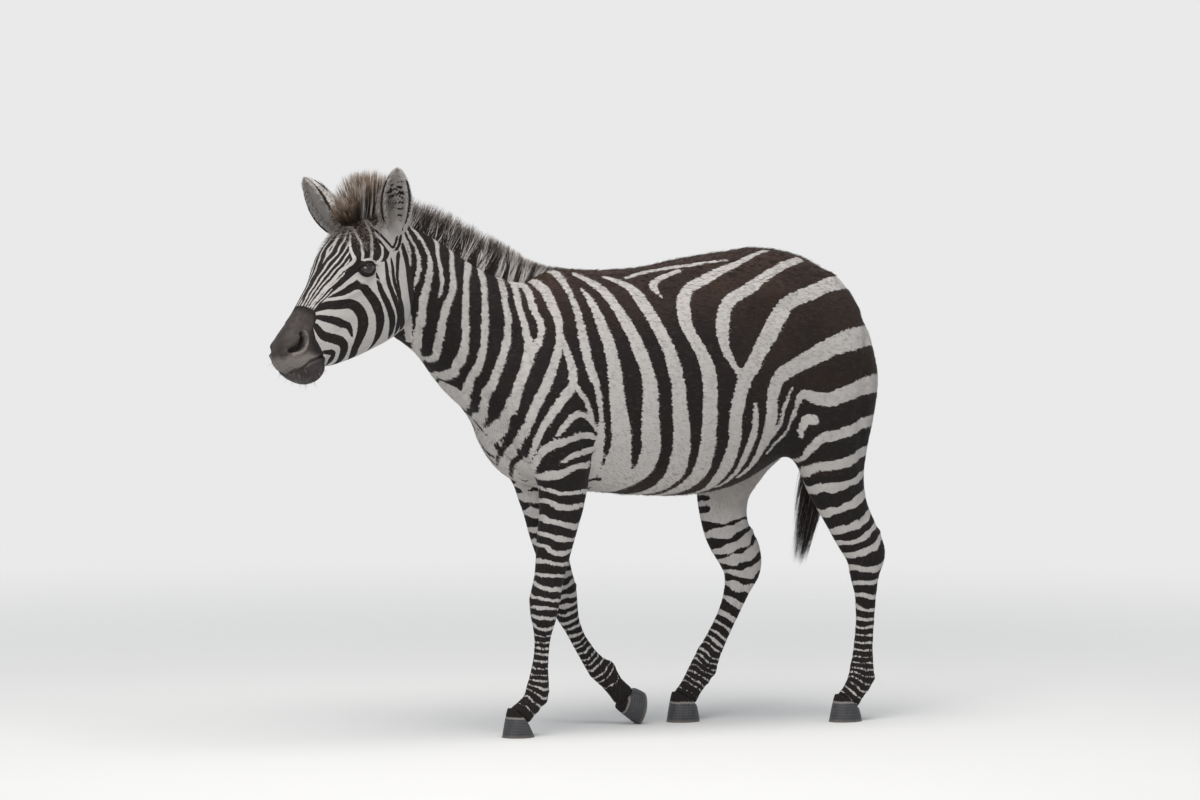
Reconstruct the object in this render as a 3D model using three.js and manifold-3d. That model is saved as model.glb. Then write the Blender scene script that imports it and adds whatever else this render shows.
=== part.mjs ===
// A young plains zebra, walking, as a still life-size figure.
//
// Millimetres, +Z up. The muzzle points to -X and the animal's left side to -Y. Before the whole figure is
// centred on its own box, the body's middle plane is y = 0. Every part of the body is a sweep: a few stations
// along a line give the place and half sizes of an egg-shaped ring, and smooth curves run through them.

import * as THREE from 'three';
import { mergeVertices } from 'three/addons/utils/BufferGeometryUtils.js';
import Module from 'manifold-3d';

const wasm = await Module();
wasm.setup();

// ---- Driving dimensions ------------------------------------------------------------------------------

const BODY_CENTRE = new THREE.Vector3(12.91, -7.7, 0); // middle of the figure's box, moved to the origin
const GAP = 0.3; // clearance between touching pieces
const FLOOR_BLOCK = { across: 400, deep: 60 }; // the block below the floor that trims a hoof

const HEAD_YAW = 25; // degrees that the face turns to the animal's left
const HEAD_PITCH = 45.6; // degrees that the bridge of the nose slopes below the level
const HEAD_ROLL = 6; // degrees that the right side of the face hangs lower than the left
const FOREHEAD = new THREE.Vector3(-604, -77, 1312); // top of the forehead, where the forelock starts

const EYE_RADIUS = 20;
const EYE_PLACE = { along: 93, aside: 75, above: -69 }; // centre of the eyeball in the head's own axes

const LEFT_EAR_ROOT = { along: -52, aside: -75, above: -78 };
const RIGHT_EAR_ROOT = { along: -38, aside: 92, above: -74 };
const EAR_LENGTH = 174;
const EAR_WALL = 4.5;
const EAR_TIP_RADIUS = 4;
const EAR_SWELL = 37; // how much wider than its tip the ear's tube is at its widest
const EAR_WRAP = { root: 150, tip: 88 }; // half angles that the ear wraps round, out of 180 degrees
const EAR_BOW = { middle: 10, root: -4 }; // how far the ear's line leans to its open side

const HOOF_SOLE = { length: 47, width: 36 }; // half sizes of the sole of a fore hoof
const HIND_SOLE = { length: 49, width: 34 };
const HEEL_SHARE = 0.82; // the sole's length behind its middle, as a share of that in front
const CORONET_BAND = { height: 5, swell: 2 }; // the rim round the top of a hoof
const WALL_BREAK = 0.55; // share of the way from the rim to the sole where the hoof's wall has a ring

const SIDES = { trunk: 24, neck: 20, head: 24, thigh: 16, shank: 12, mane: 8, tail: 8 };

// ---- Colours -----------------------------------------------------------------------------------------

const HIDE_COLOUR = 0xb9b0a8;
const MUZZLE_COLOUR = 0x4a403c;
const MANE_COLOUR = 0x57463a;
const TUFT_COLOUR = 0x2a2321;
const HOOF_COLOUR = 0x58585c;
const EYE_COLOUR = 0x17120f;

function hideMaterial() {
  return new THREE.MeshStandardMaterial({ color: HIDE_COLOUR, roughness: 0.85, metalness: 0 });
}

function headMaterial() {
  return new THREE.MeshStandardMaterial({ color: MUZZLE_COLOUR, roughness: 0.85, metalness: 0 });
}

function maneMaterial() {
  return new THREE.MeshStandardMaterial({ color: MANE_COLOUR, roughness: 0.95, metalness: 0 });
}

function tuftMaterial() {
  return new THREE.MeshStandardMaterial({ color: TUFT_COLOUR, roughness: 0.8, metalness: 0 });
}

function hoofMaterial() {
  return new THREE.MeshStandardMaterial({ color: HOOF_COLOUR, roughness: 0.6, metalness: 0 });
}

function eyeMaterial() {
  return new THREE.MeshStandardMaterial({ color: EYE_COLOUR, roughness: 0.1, metalness: 0 });
}

// ---- Sweeps ------------------------------------------------------------------------------------------

// One station of a sweep: a centre, the half width across, the half heights above and below the centre,
// how square the ring is (2 is an ellipse) and how much narrower its top is than its bottom.
function station(x, y, z, wide, up, down, full = 2, taper = 0) {
  return [x, y, z, wide, up, down, full, taper];
}

// Catmull-Rom: a smooth value between b and c, with a and d as the neighbours before and after them.
function smooth(a, b, c, d, t) {
  const bend = 2 * a - 5 * b + 4 * c - d;
  const twist = 3 * b - a - 3 * c + d;
  return 0.5 * (2 * b + (c - a) * t + bend * t * t + twist * t * t * t);
}

// The station at position u, where whole numbers are the stations in the list.
function stationAt(stations, u) {
  const last = stations.length - 1;
  const index = Math.min(Math.floor(u), last - 1);
  const before = stations[Math.max(index - 1, 0)];
  const after = stations[Math.min(index + 2, last)];
  const next = stations[index + 1];
  return stations[index].map((value, k) => smooth(before[k], value, next[k], after[k], u - index));
}

function centreAt(stations, u) {
  return new THREE.Vector3(...stationAt(stations, u).slice(0, 3));
}

// Unit direction of the line of centres at u.
function directionAt(stations, u) {
  const step = 0.05;
  const last = stations.length - 1;
  const ahead = centreAt(stations, Math.min(u + step, last));
  return ahead.sub(centreAt(stations, Math.max(u - step, 0))).normalize();
}

// The points of one ring. across is the sideways axis; along is the ring's normal, or the sweep's direction.
function ringAt(stations, u, { sides, across, along = directionAt(stations, u), grow = 0, shift = 0 }) {
  const [x, y, z, wide, up, down, full, taper] = stationAt(stations, u);
  const centre = new THREE.Vector3(x, y, z).addScaledVector(along, shift);
  const side = across.clone().addScaledVector(along, -across.dot(along)).normalize();
  const above = new THREE.Vector3().crossVectors(side, along);
  const points = [];
  for (let k = 0; k < sides; k += 1) {
    const angle = (2 * Math.PI * k) / sides;
    const cos = Math.cos(angle);
    const sin = Math.sin(angle);
    const reach = Math.sign(cos) * Math.abs(cos) ** (2 / full) * (wide + grow) * (1 - taper * sin);
    const rise = Math.sign(sin) * Math.abs(sin) ** (2 / full) * ((sin > 0 ? up : down) + grow);
    points.push(centre.clone().addScaledVector(side, reach).addScaledVector(above, rise));
  }
  return points;
}

// A closed mesh through a list of rings, with a flat fan over each end.
function stitch(rings) {
  const sides = rings[0].length;
  const positions = rings.flat().flatMap((point) => point.toArray());
  const middle = (ring) => ring.reduce((sum, point) => sum.add(point), new THREE.Vector3()).divideScalar(sides);
  positions.push(...middle(rings[0]).toArray(), ...middle(rings[rings.length - 1]).toArray());
  const firstHub = rings.length * sides;
  const lastHub = firstHub + 1;
  const lastRing = (rings.length - 1) * sides;
  const faces = [];
  for (let k = 0; k < sides; k += 1) {
    const next = (k + 1) % sides;
    for (let row = 0; row < lastRing; row += sides) {
      faces.push(row + k, row + sides + k, row + sides + next);
      faces.push(row + k, row + sides + next, row + next);
    }
    faces.push(firstHub, k, next);
    faces.push(lastHub, lastRing + next, lastRing + k);
  }
  const geometry = new THREE.BufferGeometry();
  geometry.setAttribute('position', new THREE.Float32BufferAttribute(positions, 3));
  geometry.setIndex(faces);
  return geometry;
}

// A sweep from position `from` to position `to`, with `rate` rings for each station passed.
function sweep(stations, { from = 0, to = stations.length - 1, rate = 2, trim = [0, 0], ...shape }) {
  const count = Math.round((to - from) * rate);
  const rings = [];
  for (let k = 0; k <= count; k += 1) {
    const shift = k === 0 ? trim[0] : k === count ? -trim[1] : 0;
    rings.push(ringAt(stations, from + ((to - from) * k) / count, { ...shape, shift }));
  }
  return stitch(rings);
}

// ---- Solids ------------------------------------------------------------------------------------------

function solidOf(geometry) {
  const bare = geometry.clone();
  bare.deleteAttribute('normal');
  bare.deleteAttribute('uv');
  const merged = mergeVertices(bare, 1e-3);
  const vertProperties = new Float32Array(merged.attributes.position.array);
  const triVerts = new Uint32Array(merged.index.array);
  return new wasm.Manifold(new wasm.Mesh({ numProp: 3, vertProperties, triVerts }));
}

// The largest body of a solid that a cut may have left in pieces.
function largest(solid) {
  return solid.decompose().reduce((best, piece) => (piece.volume() > best.volume() ? piece : best));
}

function geometryOf(solid) {
  const mesh = largest(solid).getMesh();
  const geometry = new THREE.BufferGeometry();
  geometry.setAttribute('position', new THREE.Float32BufferAttribute(mesh.vertProperties, 3));
  geometry.setIndex(new THREE.Uint32BufferAttribute(mesh.triVerts, 1));
  return geometry;
}

function without(solid, ...cutters) {
  return cutters.reduce((rest, cutter) => rest.subtract(cutter), solid);
}

const figure = new THREE.Group();

function addPiece(name, shape, material) {
  const geometry = shape instanceof THREE.BufferGeometry ? shape : geometryOf(shape);
  geometry.computeVertexNormals();
  const mesh = new THREE.Mesh(geometry, material);
  mesh.name = name;
  figure.add(mesh);
}

// ---- The trunk ---------------------------------------------------------------------------------------

const ACROSS_BODY = new THREE.Vector3(0, 1, 0);
const TOWARDS_HEAD = new THREE.Vector3(-1, 0, 0);

// One upright slice of the trunk, from its top and bottom heights.
function slice(x, top, bottom, wide, full, taper) {
  const middle = (top + bottom) / 2;
  return station(x, 0, middle, wide, top - middle, middle - bottom, full, taper);
}

const TRUNK = [
  slice(850, 985, 885, 35, 2, 0), // buttocks
  slice(838, 1045, 850, 80, 2, 0),
  slice(805, 1098, 810, 125, 2.1, 0),
  slice(745, 1155, 765, 165, 2.2, 0.02), // root of the tail
  slice(660, 1198, 705, 190, 2.2, 0.04),
  slice(560, 1215, 642, 200, 2.2, 0.05), // croup
  slice(470, 1204, 602, 208, 2.2, 0.04), // loin
  slice(350, 1188, 586, 213, 2.2, 0.04),
  slice(210, 1167, 592, 206, 2.2, 0.04), // back
  slice(80, 1172, 606, 188, 2.2, 0.08), // girth
  slice(-25, 1173, 614, 166, 2.2, 0.12), // withers
  slice(-90, 1140, 628, 150, 2.2, 0.1),
  slice(-150, 1080, 665, 132, 2.2, 0.04),
  slice(-195, 1000, 730, 100, 2.1, 0), // point of the shoulder
  slice(-218, 925, 795, 50, 2, 0), // breast
];

function trunkGeometry(grow = 0) {
  return sweep(TRUNK, { sides: SIDES.trunk, across: ACROSS_BODY, along: TOWARDS_HEAD, rate: 1.5, grow });
}

// ---- The neck ----------------------------------------------------------------------------------------

const NECK = [
  station(-40, 0, 930, 125, 190, 215, 2.1, 0.2), // inside the shoulders
  station(-180, 0, 995, 112, 172, 180, 2.1, 0.22),
  station(-302, -12, 1078, 88, 136, 140, 2.1, 0.22),
  station(-418, -30, 1152, 78, 132, 136, 2.1, 0.2),
  station(-505, -48, 1200, 66, 118, 128, 2.1, 0.15),
  station(-552, -60, 1222, 45, 80, 90, 2, 0.1), // inside the head
];

function neckGeometry(grow = 0) {
  return sweep(NECK, { sides: SIDES.neck, across: ACROSS_BODY, rate: 2.4, grow });
}

// ---- The head ----------------------------------------------------------------------------------------

const yaw = THREE.MathUtils.degToRad(HEAD_YAW);
const pitch = THREE.MathUtils.degToRad(HEAD_PITCH);
const HEAD_FORWARD = new THREE.Vector3(-Math.cos(yaw), -Math.sin(yaw), 0);
const HEAD_ALONG = HEAD_FORWARD.clone().multiplyScalar(Math.cos(pitch)).setZ(-Math.sin(pitch));
const HEAD_RIGHT = new THREE.Vector3(-Math.sin(yaw), Math.cos(yaw), 0)
  .applyAxisAngle(HEAD_ALONG, THREE.MathUtils.degToRad(HEAD_ROLL));
const HEAD_ABOVE = new THREE.Vector3().crossVectors(HEAD_RIGHT, HEAD_ALONG);

// A point from the forehead: along the bridge of the nose, aside to the animal's right, and above the bridge.
function headPoint(along, aside, above) {
  return FOREHEAD.clone()
    .addScaledVector(HEAD_ALONG, along)
    .addScaledVector(HEAD_RIGHT, aside)
    .addScaledVector(HEAD_ABOVE, above);
}

// One slice square to the bridge of the nose, from its top and bottom edges.
function headSlice(along, top, bottom, wide, full, taper) {
  const middle = (top + bottom) / 2;
  const centre = headPoint(along, 0, middle);
  return station(...centre.toArray(), wide, top - middle, middle - bottom, full, taper);
}

const HEAD = [
  headSlice(-112, -92, -160, 34, 2, 0), // behind the poll
  headSlice(-95, -66, -200, 56, 2.1, 0),
  headSlice(-55, -28, -240, 72, 2.2, 0.05),
  headSlice(0, -4, -266, 80, 2.2, 0.12), // forehead
  headSlice(50, 4, -284, 92, 2.6, 0.04),
  headSlice(100, 5, -290, 95, 2.8, 0), // eyes and angle of the jaw
  headSlice(150, 2, -279, 85, 2.5, 0.06),
  headSlice(200, 0, -256, 68, 2.2, 0.14),
  headSlice(250, -2, -228, 56, 2.2, 0.14),
  headSlice(300, -4, -195, 48, 2.2, 0.1), // bridge of the nose
  headSlice(345, -3, -163, 48, 2.3, 0.02), // chin groove
  headSlice(380, -5, -161, 51, 2.4, -0.02), // nostrils
  headSlice(408, -15, -150, 47, 2.3, -0.02), // lips
  headSlice(425, -36, -122, 33, 2.1, 0),
  headSlice(432, -56, -100, 16, 2, 0),
];

function headGeometry(grow = 0) {
  return sweep(HEAD, { sides: SIDES.head, across: HEAD_RIGHT, along: HEAD_ALONG, rate: 1.5, grow });
}

function eyeGeometry(side, grow = 0) {
  const centre = headPoint(EYE_PLACE.along, side * EYE_PLACE.aside, EYE_PLACE.above);
  return new THREE.SphereGeometry(EYE_RADIUS + grow, 12, 8).translate(...centre.toArray());
}

// ---- The ears ----------------------------------------------------------------------------------------

// A cupped leaf, open to one side. Each level is an arc of a circle round the ear's own line: half its angle
// shrinks from nearly a tube at the root to an open blade at the tip, and its radius swells and closes.
function earGeometry(root, tip, opening) {
  const levels = 9;
  const steps = 8;
  const bareShare = 0.22; // the root is cut off where the swelling is already this far along
  const lean = tip.clone().sub(root);
  const up = lean.clone().normalize();
  const front = opening.clone().addScaledVector(up, -opening.dot(up)).normalize();
  const across = new THREE.Vector3().crossVectors(front, up);
  const outer = [];
  const inner = [];
  for (let level = 0; level <= levels; level += 1) {
    const t = level / levels;
    const phase = (bareShare + (1 - bareShare) * t) ** 1.05;
    const radius = EAR_TIP_RADIUS + EAR_SWELL * Math.sin(Math.PI * phase) ** 0.8;
    const halfAngle = THREE.MathUtils.degToRad(THREE.MathUtils.lerp(EAR_WRAP.root, EAR_WRAP.tip, t));
    const wall = Math.min(EAR_WALL, radius * 0.45);
    const bow = EAR_BOW.middle * Math.sin(Math.PI * t) + EAR_BOW.root;
    const centre = root.clone().addScaledVector(lean, t).addScaledVector(front, bow);
    for (let step = 0; step <= steps; step += 1) {
      const angle = halfAngle * ((2 * step) / steps - 1);
      const outward = across.clone().multiplyScalar(Math.sin(angle)).addScaledVector(front, -Math.cos(angle));
      outer.push(centre.clone().addScaledVector(outward, radius));
      inner.push(centre.clone().addScaledVector(outward, radius - wall));
    }
  }
  return shellGeometry(outer, inner, levels + 1, steps + 1);
}

// A closed wall between two grids of points of the same size, outer and inner.
function shellGeometry(outer, inner, rows, columns) {
  const positions = [...outer, ...inner].flatMap((point) => point.toArray());
  const offset = rows * columns;
  const faces = [];
  const quad = (a, b, c, d) => faces.push(a, b, c, a, c, d);
  for (let row = 0; row < rows - 1; row += 1) {
    for (let column = 0; column < columns - 1; column += 1) {
      const a = row * columns + column;
      quad(a, a + 1, a + 1 + columns, a + columns);
      quad(offset + a, offset + a + columns, offset + a + 1 + columns, offset + a + 1);
    }
    const first = row * columns;
    const last = first + columns - 1;
    quad(first, first + columns, offset + first + columns, offset + first);
    quad(last, offset + last, offset + last + columns, last + columns);
  }
  for (let column = 0; column < columns - 1; column += 1) {
    const top = (rows - 1) * columns + column;
    quad(column, offset + column, offset + column + 1, column + 1);
    quad(top, top + 1, offset + top + 1, offset + top);
  }
  const geometry = new THREE.BufferGeometry();
  geometry.setAttribute('position', new THREE.Float32BufferAttribute(positions, 3));
  geometry.setIndex(faces);
  return geometry;
}

// aside is signed, so it also tells which way the ear leans; facing turns its opening from -X towards -Y.
function ear({ along, aside, above }, facing, lean) {
  const root = headPoint(along, aside, above);
  const direction = HEAD_FORWARD.clone().multiplyScalar(lean.forward)
    .addScaledVector(HEAD_RIGHT, Math.sign(aside) * lean.outward)
    .add(new THREE.Vector3(0, 0, 1))
    .normalize();
  const tip = root.clone().addScaledVector(direction, EAR_LENGTH);
  const turn = THREE.MathUtils.degToRad(facing);
  return earGeometry(root, tip, new THREE.Vector3(-Math.cos(turn), -Math.sin(turn), 0));
}

// ---- The mane and the tail ---------------------------------------------------------------------------

// The upright mane, along the crest from the withers to the poll. Each height reaches the tips of the hair.
const MANE = [
  station(50, 0, 1156, 8, 16, 14),
  station(-25, 0, 1158, 13, 28, 16),
  station(-75, 0, 1150, 16, 52, 18),
  station(-110, 0, 1148, 18, 78, 20),
  station(-150, 0, 1150, 20, 98, 22),
  station(-206, -3, 1168, 22, 110, 24),
  station(-285, -12, 1205, 24, 116, 26),
  station(-375, -24, 1252, 24, 106, 28),
  station(-445, -32, 1292, 24, 92, 30),
  station(-490, -38, 1312, 24, 96, 30),
];

const FORELOCK = [
  station(-492, -38, 1313, 24, 96, 30),
  station(-516, -46, 1322, 25, 112, 30),
  station(-548, -58, 1320, 26, 116, 30),
  station(-574, -69, 1309, 22, 94, 30),
  station(-588, -76, 1298, 10, 58, 20),
];

function hairGeometry(stations, rate, grow = 0) {
  return sweep(stations, { sides: SIDES.mane, across: ACROSS_BODY, rate, grow });
}

const TAIL_DOCK = [
  station(765, 0, 1108, 28, 26, 26),
  station(815, 4, 1078, 25, 26, 26),
  station(848, 14, 1008, 23, 23, 23),
  station(856, 26, 915, 20, 20, 20),
  station(848, 44, 825, 18, 18, 18),
  station(820, 60, 740, 17, 18, 18),
];

const TAIL_TUFT = [
  station(820, 60, 740, 20, 22, 22),
  station(793, 74, 660, 25, 34, 32),
  station(766, 86, 580, 26, 38, 36),
  station(748, 95, 500, 22, 32, 30),
  station(738, 101, 430, 14, 20, 20),
  station(733, 103, 385, 5, 6, 6),
];

function tailGeometry(stations, trim) {
  return sweep(stations, { sides: SIDES.tail, across: ACROSS_BODY, rate: 2, trim });
}

// ---- The legs ----------------------------------------------------------------------------------------

// Leg stations run downwards: wide is half across the leg, up is to its front and down is to its back.

const LEFT_FORELEG = [
  station(-80, -88, 985, 45, 90, 85),
  station(-88, -103, 900, 62, 112, 105),
  station(-68, -112, 805, 64, 112, 108),
  station(-42, -116, 718, 60, 92, 92), // elbow
  station(-30, -113, 645, 50, 70, 70),
  station(-36, -108, 565, 44, 57, 58),
  station(-48, -104, 495, 39, 51, 51),
  station(-62, -100, 405, 34, 41, 41),
  station(-73, -97, 345, 36, 40, 40, 2.4), // knee
  station(-75, -95, 298, 31, 35, 33, 2.2),
  station(-78, -92, 252, 20, 23, 25),
  station(-82, -90, 200, 18, 21, 24),
  station(-87, -88, 152, 22, 25, 29),
  station(-91, -86, 119, 26, 28, 35), // fetlock
  station(-106, -85, 88, 23, 27, 31),
  station(-127, -85, 64, 27, 31, 31),
  station(-140, -85, 50, 32, 36, 33), // coronet
];

const RIGHT_FORELEG = [
  station(-78, 88, 985, 45, 90, 85),
  station(-82, 103, 900, 62, 112, 105),
  station(-60, 112, 805, 64, 108, 108),
  station(-28, 116, 718, 60, 90, 92), // elbow
  station(-2, 113, 645, 50, 68, 70),
  station(14, 108, 565, 44, 56, 58),
  station(27, 104, 495, 39, 50, 51),
  station(48, 99, 405, 34, 41, 41),
  station(62, 95, 345, 36, 40, 40, 2.4), // knee
  station(73, 93, 298, 31, 35, 33, 2.2),
  station(90, 90, 252, 20, 24, 26),
  station(113, 88, 208, 18, 22, 25),
  station(140, 85, 167, 22, 25, 29),
  station(163, 83, 139, 26, 28, 38), // fetlock
  station(187, 82, 115, 24, 27, 31),
  station(212, 81, 90, 25, 28, 30),
  station(234, 80, 68, 31, 35, 33), // coronet
];

const LEFT_HINDLEG = [
  station(645, -80, 1125, 45, 95, 100),
  station(680, -94, 1025, 84, 140, 132),
  station(708, -100, 905, 92, 150, 146),
  station(715, -104, 785, 82, 132, 130),
  station(726, -105, 690, 68, 106, 100), // stifle
  station(743, -103, 610, 52, 83, 77),
  station(769, -100, 540, 42, 66, 64),
  station(800, -97, 475, 36, 58, 64),
  station(824, -94, 422, 36, 48, 63), // hock
  station(829, -92, 372, 32, 43, 40),
  station(831, -91, 322, 25, 32, 31),
  station(829, -90, 260, 21, 27, 29),
  station(823, -90, 190, 21, 27, 31),
  station(818, -90, 132, 26, 31, 37), // fetlock
  station(809, -90, 100, 27, 31, 39),
  station(793, -90, 70, 26, 31, 33),
  station(780, -90, 50, 31, 37, 34), // coronet
];

const RIGHT_HINDLEG = [
  station(635, 80, 1110, 45, 95, 100),
  station(645, 94, 1010, 84, 140, 145),
  station(630, 100, 890, 92, 146, 168),
  station(596, 104, 770, 82, 128, 145),
  station(552, 104, 675, 67, 102, 106), // stifle
  station(522, 101, 595, 52, 79, 78),
  station(517, 97, 532, 43, 66, 67),
  station(527, 93, 473, 38, 60, 66),
  station(550, 90, 420, 36, 52, 72), // hock
  station(560, 88, 378, 33, 45, 61),
  station(552, 86, 335, 27, 38, 39),
  station(532, 85, 285, 22, 31, 32),
  station(500, 84, 225, 21, 29, 32),
  station(462, 82, 160, 26, 32, 37), // fetlock
  station(440, 82, 122, 27, 32, 39),
  station(418, 82, 85, 26, 31, 33),
  station(402, 82, 58, 31, 37, 34), // coronet
];

function legSweep(stations, sides, rate, from, to, trim) {
  return sweep(stations, { sides, across: ACROSS_BODY, rate, from, to, trim });
}

// An oval in the plane of the sole; toe points from the sole's middle to the toe. The heel is squarer.
function soleRing(centre, toe, half, sides) {
  const points = [];
  for (let k = 0; k < sides; k += 1) {
    const angle = (2 * Math.PI * k) / sides;
    const sin = Math.sin(angle);
    const reach = half.width * Math.cos(angle) * (sin < 0 ? 1 + 0.12 * sin : 1);
    const length = half.length * (sin < 0 ? sin * HEEL_SHARE : sin);
    points.push(centre.clone().addScaledVector(ACROSS_BODY, reach).addScaledVector(toe, length));
  }
  return points;
}

// A hoof from the coronet, where its leg ends, out to the sole, and trimmed flat where it meets the floor.
function hoofSolid(stations, { centre, toe, half }) {
  const sides = SIDES.shank;
  const end = stations.length - 1;
  const coronet = ringAt(stations, end, { sides, across: ACROSS_BODY, shift: GAP });
  const { height: shift, swell: grow } = CORONET_BAND;
  const swell = ringAt(stations, end, { sides, across: ACROSS_BODY, shift, grow });
  const sole = soleRing(centre, toe, half, sides);
  const wall = swell.map((point, k) => point.clone().lerp(sole[k], WALL_BREAK));
  const { across, deep } = FLOOR_BLOCK;
  const floor = new THREE.BoxGeometry(across, across, deep).translate(centre.x, centre.y, -deep / 2);
  return solidOf(stitch([coronet, swell, wall, sole])).subtract(solidOf(floor));
}

const LEVEL_TOE = new THREE.Vector3(-1, 0, 0);
const RAISED_TOE = new THREE.Vector3(-0.2, 0, -0.98).normalize();

const FORELEG_PARTS = [
  { name: 'upper', from: 0, to: 8, sides: SIDES.thigh, rate: 1.5 },
  { name: 'cannon', from: 8, to: 13, sides: SIDES.shank, rate: 1.6 },
  { name: 'pastern', from: 13, to: 16, sides: SIDES.shank, rate: 1.67 },
];

const HINDLEG_PARTS = [
  { name: 'thigh', from: 0, to: 5, sides: SIDES.thigh, rate: 1.6 },
  { name: 'gaskin', from: 5, to: 9, sides: SIDES.thigh, rate: 1.75 },
  { name: 'cannon', from: 9, to: 13, sides: SIDES.shank, rate: 1.5 },
  { name: 'pastern', from: 13, to: 16, sides: SIDES.shank, rate: 1.67 },
];

const LEGS = [
  {
    name: 'foreleg_left', stations: LEFT_FORELEG, parts: FORELEG_PARTS,
    hoof: { centre: new THREE.Vector3(-137, -85, 0), toe: LEVEL_TOE, half: HOOF_SOLE },
  },
  {
    name: 'foreleg_right', stations: RIGHT_FORELEG, parts: FORELEG_PARTS,
    hoof: { centre: new THREE.Vector3(278, 80, 42), toe: RAISED_TOE, half: HOOF_SOLE },
  },
  {
    name: 'hindleg_left', stations: LEFT_HINDLEG, parts: HINDLEG_PARTS,
    hoof: { centre: new THREE.Vector3(779, -90, 0), toe: LEVEL_TOE, half: HIND_SOLE },
  },
  {
    name: 'hindleg_right', stations: RIGHT_HINDLEG, parts: HINDLEG_PARTS,
    hoof: { centre: new THREE.Vector3(402, 82, 0), toe: LEVEL_TOE, half: HIND_SOLE },
  },
];

// ---- Assembly ----------------------------------------------------------------------------------------

const trunkClear = solidOf(trunkGeometry(GAP));
const neckClear = solidOf(neckGeometry(GAP));
const headClear = solidOf(headGeometry(GAP));
const thighsClear = LEGS.filter((leg) => leg.parts === HINDLEG_PARTS)
  .map((leg) => solidOf(sweep(leg.stations, { sides: SIDES.thigh, across: ACROSS_BODY, to: 5, grow: GAP })));

addPiece('trunk', trunkGeometry(), hideMaterial());
addPiece('neck', without(solidOf(neckGeometry()), trunkClear, headClear), hideMaterial());

const eyeSockets = [-1, 1].map((side) => solidOf(eyeGeometry(side, GAP)));
addPiece('head', without(solidOf(headGeometry()), ...eyeSockets), headMaterial());
addPiece('eye_left', solidOf(eyeGeometry(-1)), eyeMaterial());
addPiece('eye_right', solidOf(eyeGeometry(1)), eyeMaterial());

const leftEar = solidOf(ear(LEFT_EAR_ROOT, 60, { forward: 0.41, outward: 0.42 }));
const rightEar = solidOf(ear(RIGHT_EAR_ROOT, 14, { forward: 0.55, outward: 0.6 }));
addPiece('ear_left', without(leftEar, headClear, neckClear), hideMaterial());
addPiece('ear_right', without(rightEar, headClear, neckClear), hideMaterial());

const bodyClear = [trunkClear, neckClear, headClear];
const forelockClear = solidOf(hairGeometry(FORELOCK, 2.5, GAP));
addPiece('mane', without(solidOf(hairGeometry(MANE, 2)), ...bodyClear, forelockClear), maneMaterial());
addPiece('forelock', without(solidOf(hairGeometry(FORELOCK, 2.5)), ...bodyClear), maneMaterial());
const tailDock = solidOf(tailGeometry(TAIL_DOCK, [0, GAP]));
addPiece('tail_dock', without(tailDock, trunkClear, ...thighsClear), hideMaterial());
addPiece('tail_tuft', tailGeometry(TAIL_TUFT, [GAP, 0]), tuftMaterial());

for (const leg of LEGS) {
  leg.parts.forEach((part, index) => {
    const trim = [index === 0 ? 0 : GAP / 2, index === leg.parts.length - 1 ? 0 : GAP / 2];
    const limb = solidOf(legSweep(leg.stations, part.sides, part.rate, part.from, part.to, trim));
    addPiece(`${leg.name}_${part.name}`, without(limb, trunkClear, neckClear), hideMaterial());
  });
  addPiece(`${leg.name}_hoof`, hoofSolid(leg.stations, leg.hoof), hoofMaterial());
}

figure.position.sub(BODY_CENTRE);

export default figure;
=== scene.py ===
"""A young plains zebra, walking: the looks of a still, life-size figure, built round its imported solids.

Laid out as a Blender add-on and run as a script. Metres, +Z up, the muzzle towards -X and the animal's left
side towards -Y. One skin is wrapped round lofts of the body's parts, sculpted, and marked with stripes; a
coat of fine tufts, the mane, the tail tuft, the eyes and the hooves are pieces of their own."""

import math

import bmesh
import bpy
import numpy as np
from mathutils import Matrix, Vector


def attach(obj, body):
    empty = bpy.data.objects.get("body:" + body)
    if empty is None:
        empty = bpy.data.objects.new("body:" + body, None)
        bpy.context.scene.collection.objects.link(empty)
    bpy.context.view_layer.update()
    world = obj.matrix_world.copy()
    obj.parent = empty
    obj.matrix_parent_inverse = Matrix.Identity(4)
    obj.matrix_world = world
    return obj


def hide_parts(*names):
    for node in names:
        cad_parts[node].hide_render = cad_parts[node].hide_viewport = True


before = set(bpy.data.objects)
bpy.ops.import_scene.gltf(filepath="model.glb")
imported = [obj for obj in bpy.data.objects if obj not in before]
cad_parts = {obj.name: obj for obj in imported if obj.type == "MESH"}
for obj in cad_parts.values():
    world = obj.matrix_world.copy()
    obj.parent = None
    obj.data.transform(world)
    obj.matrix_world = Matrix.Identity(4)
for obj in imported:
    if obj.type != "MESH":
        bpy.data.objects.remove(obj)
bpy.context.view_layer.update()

bl_info = {
    "name": "Walking zebra",
    "version": (1, 0, 0),
    "blender": (4, 5, 0),
    "location": "3D View > Sidebar > Zebra",
    "description": "Builds a life-size young zebra: skin, coat, mane, tail, eyes, hooves and stage",
    "category": "Object",
}

# ---- Body tables, in millimetres ------------------------------------------------------------------------

BODY_CENTRE = np.array([12.91, -7.7, 0.0])  # where the figure's middle is in the tables' own axes
MIDDLE_Y = 0.0077  # the body's middle plane, in metres, once the figure is centred
HEAD_YAW = math.radians(25)
HEAD_PITCH = math.radians(45.6)
HEAD_ROLL = math.radians(6)
FOREHEAD = np.array([-604.0, -77.0, 1312.0])
EYE_RADIUS = 0.0225
EYE_PLACE = np.array([96.0, 73.5, -66.5])  # along the face, aside and above its bridge
UPPER_LID = 0.0138  # heights of the eye's opening over and under its middle, and half its length
LOWER_LID = 0.0112
LID_HALF = 0.0218
EAR_LENGTH = 0.174
FAR = 0.06  # what a distance to a stripe's edge is called where it is further than that
DOCK_BAR = 0.036  # from one dark bar of the tail's dock to the next
FRAY = 0.72  # how far strands move a stripe's edge, in centimetres
PATCH = 0.003  # a tuft's size on the OFBake map
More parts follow.
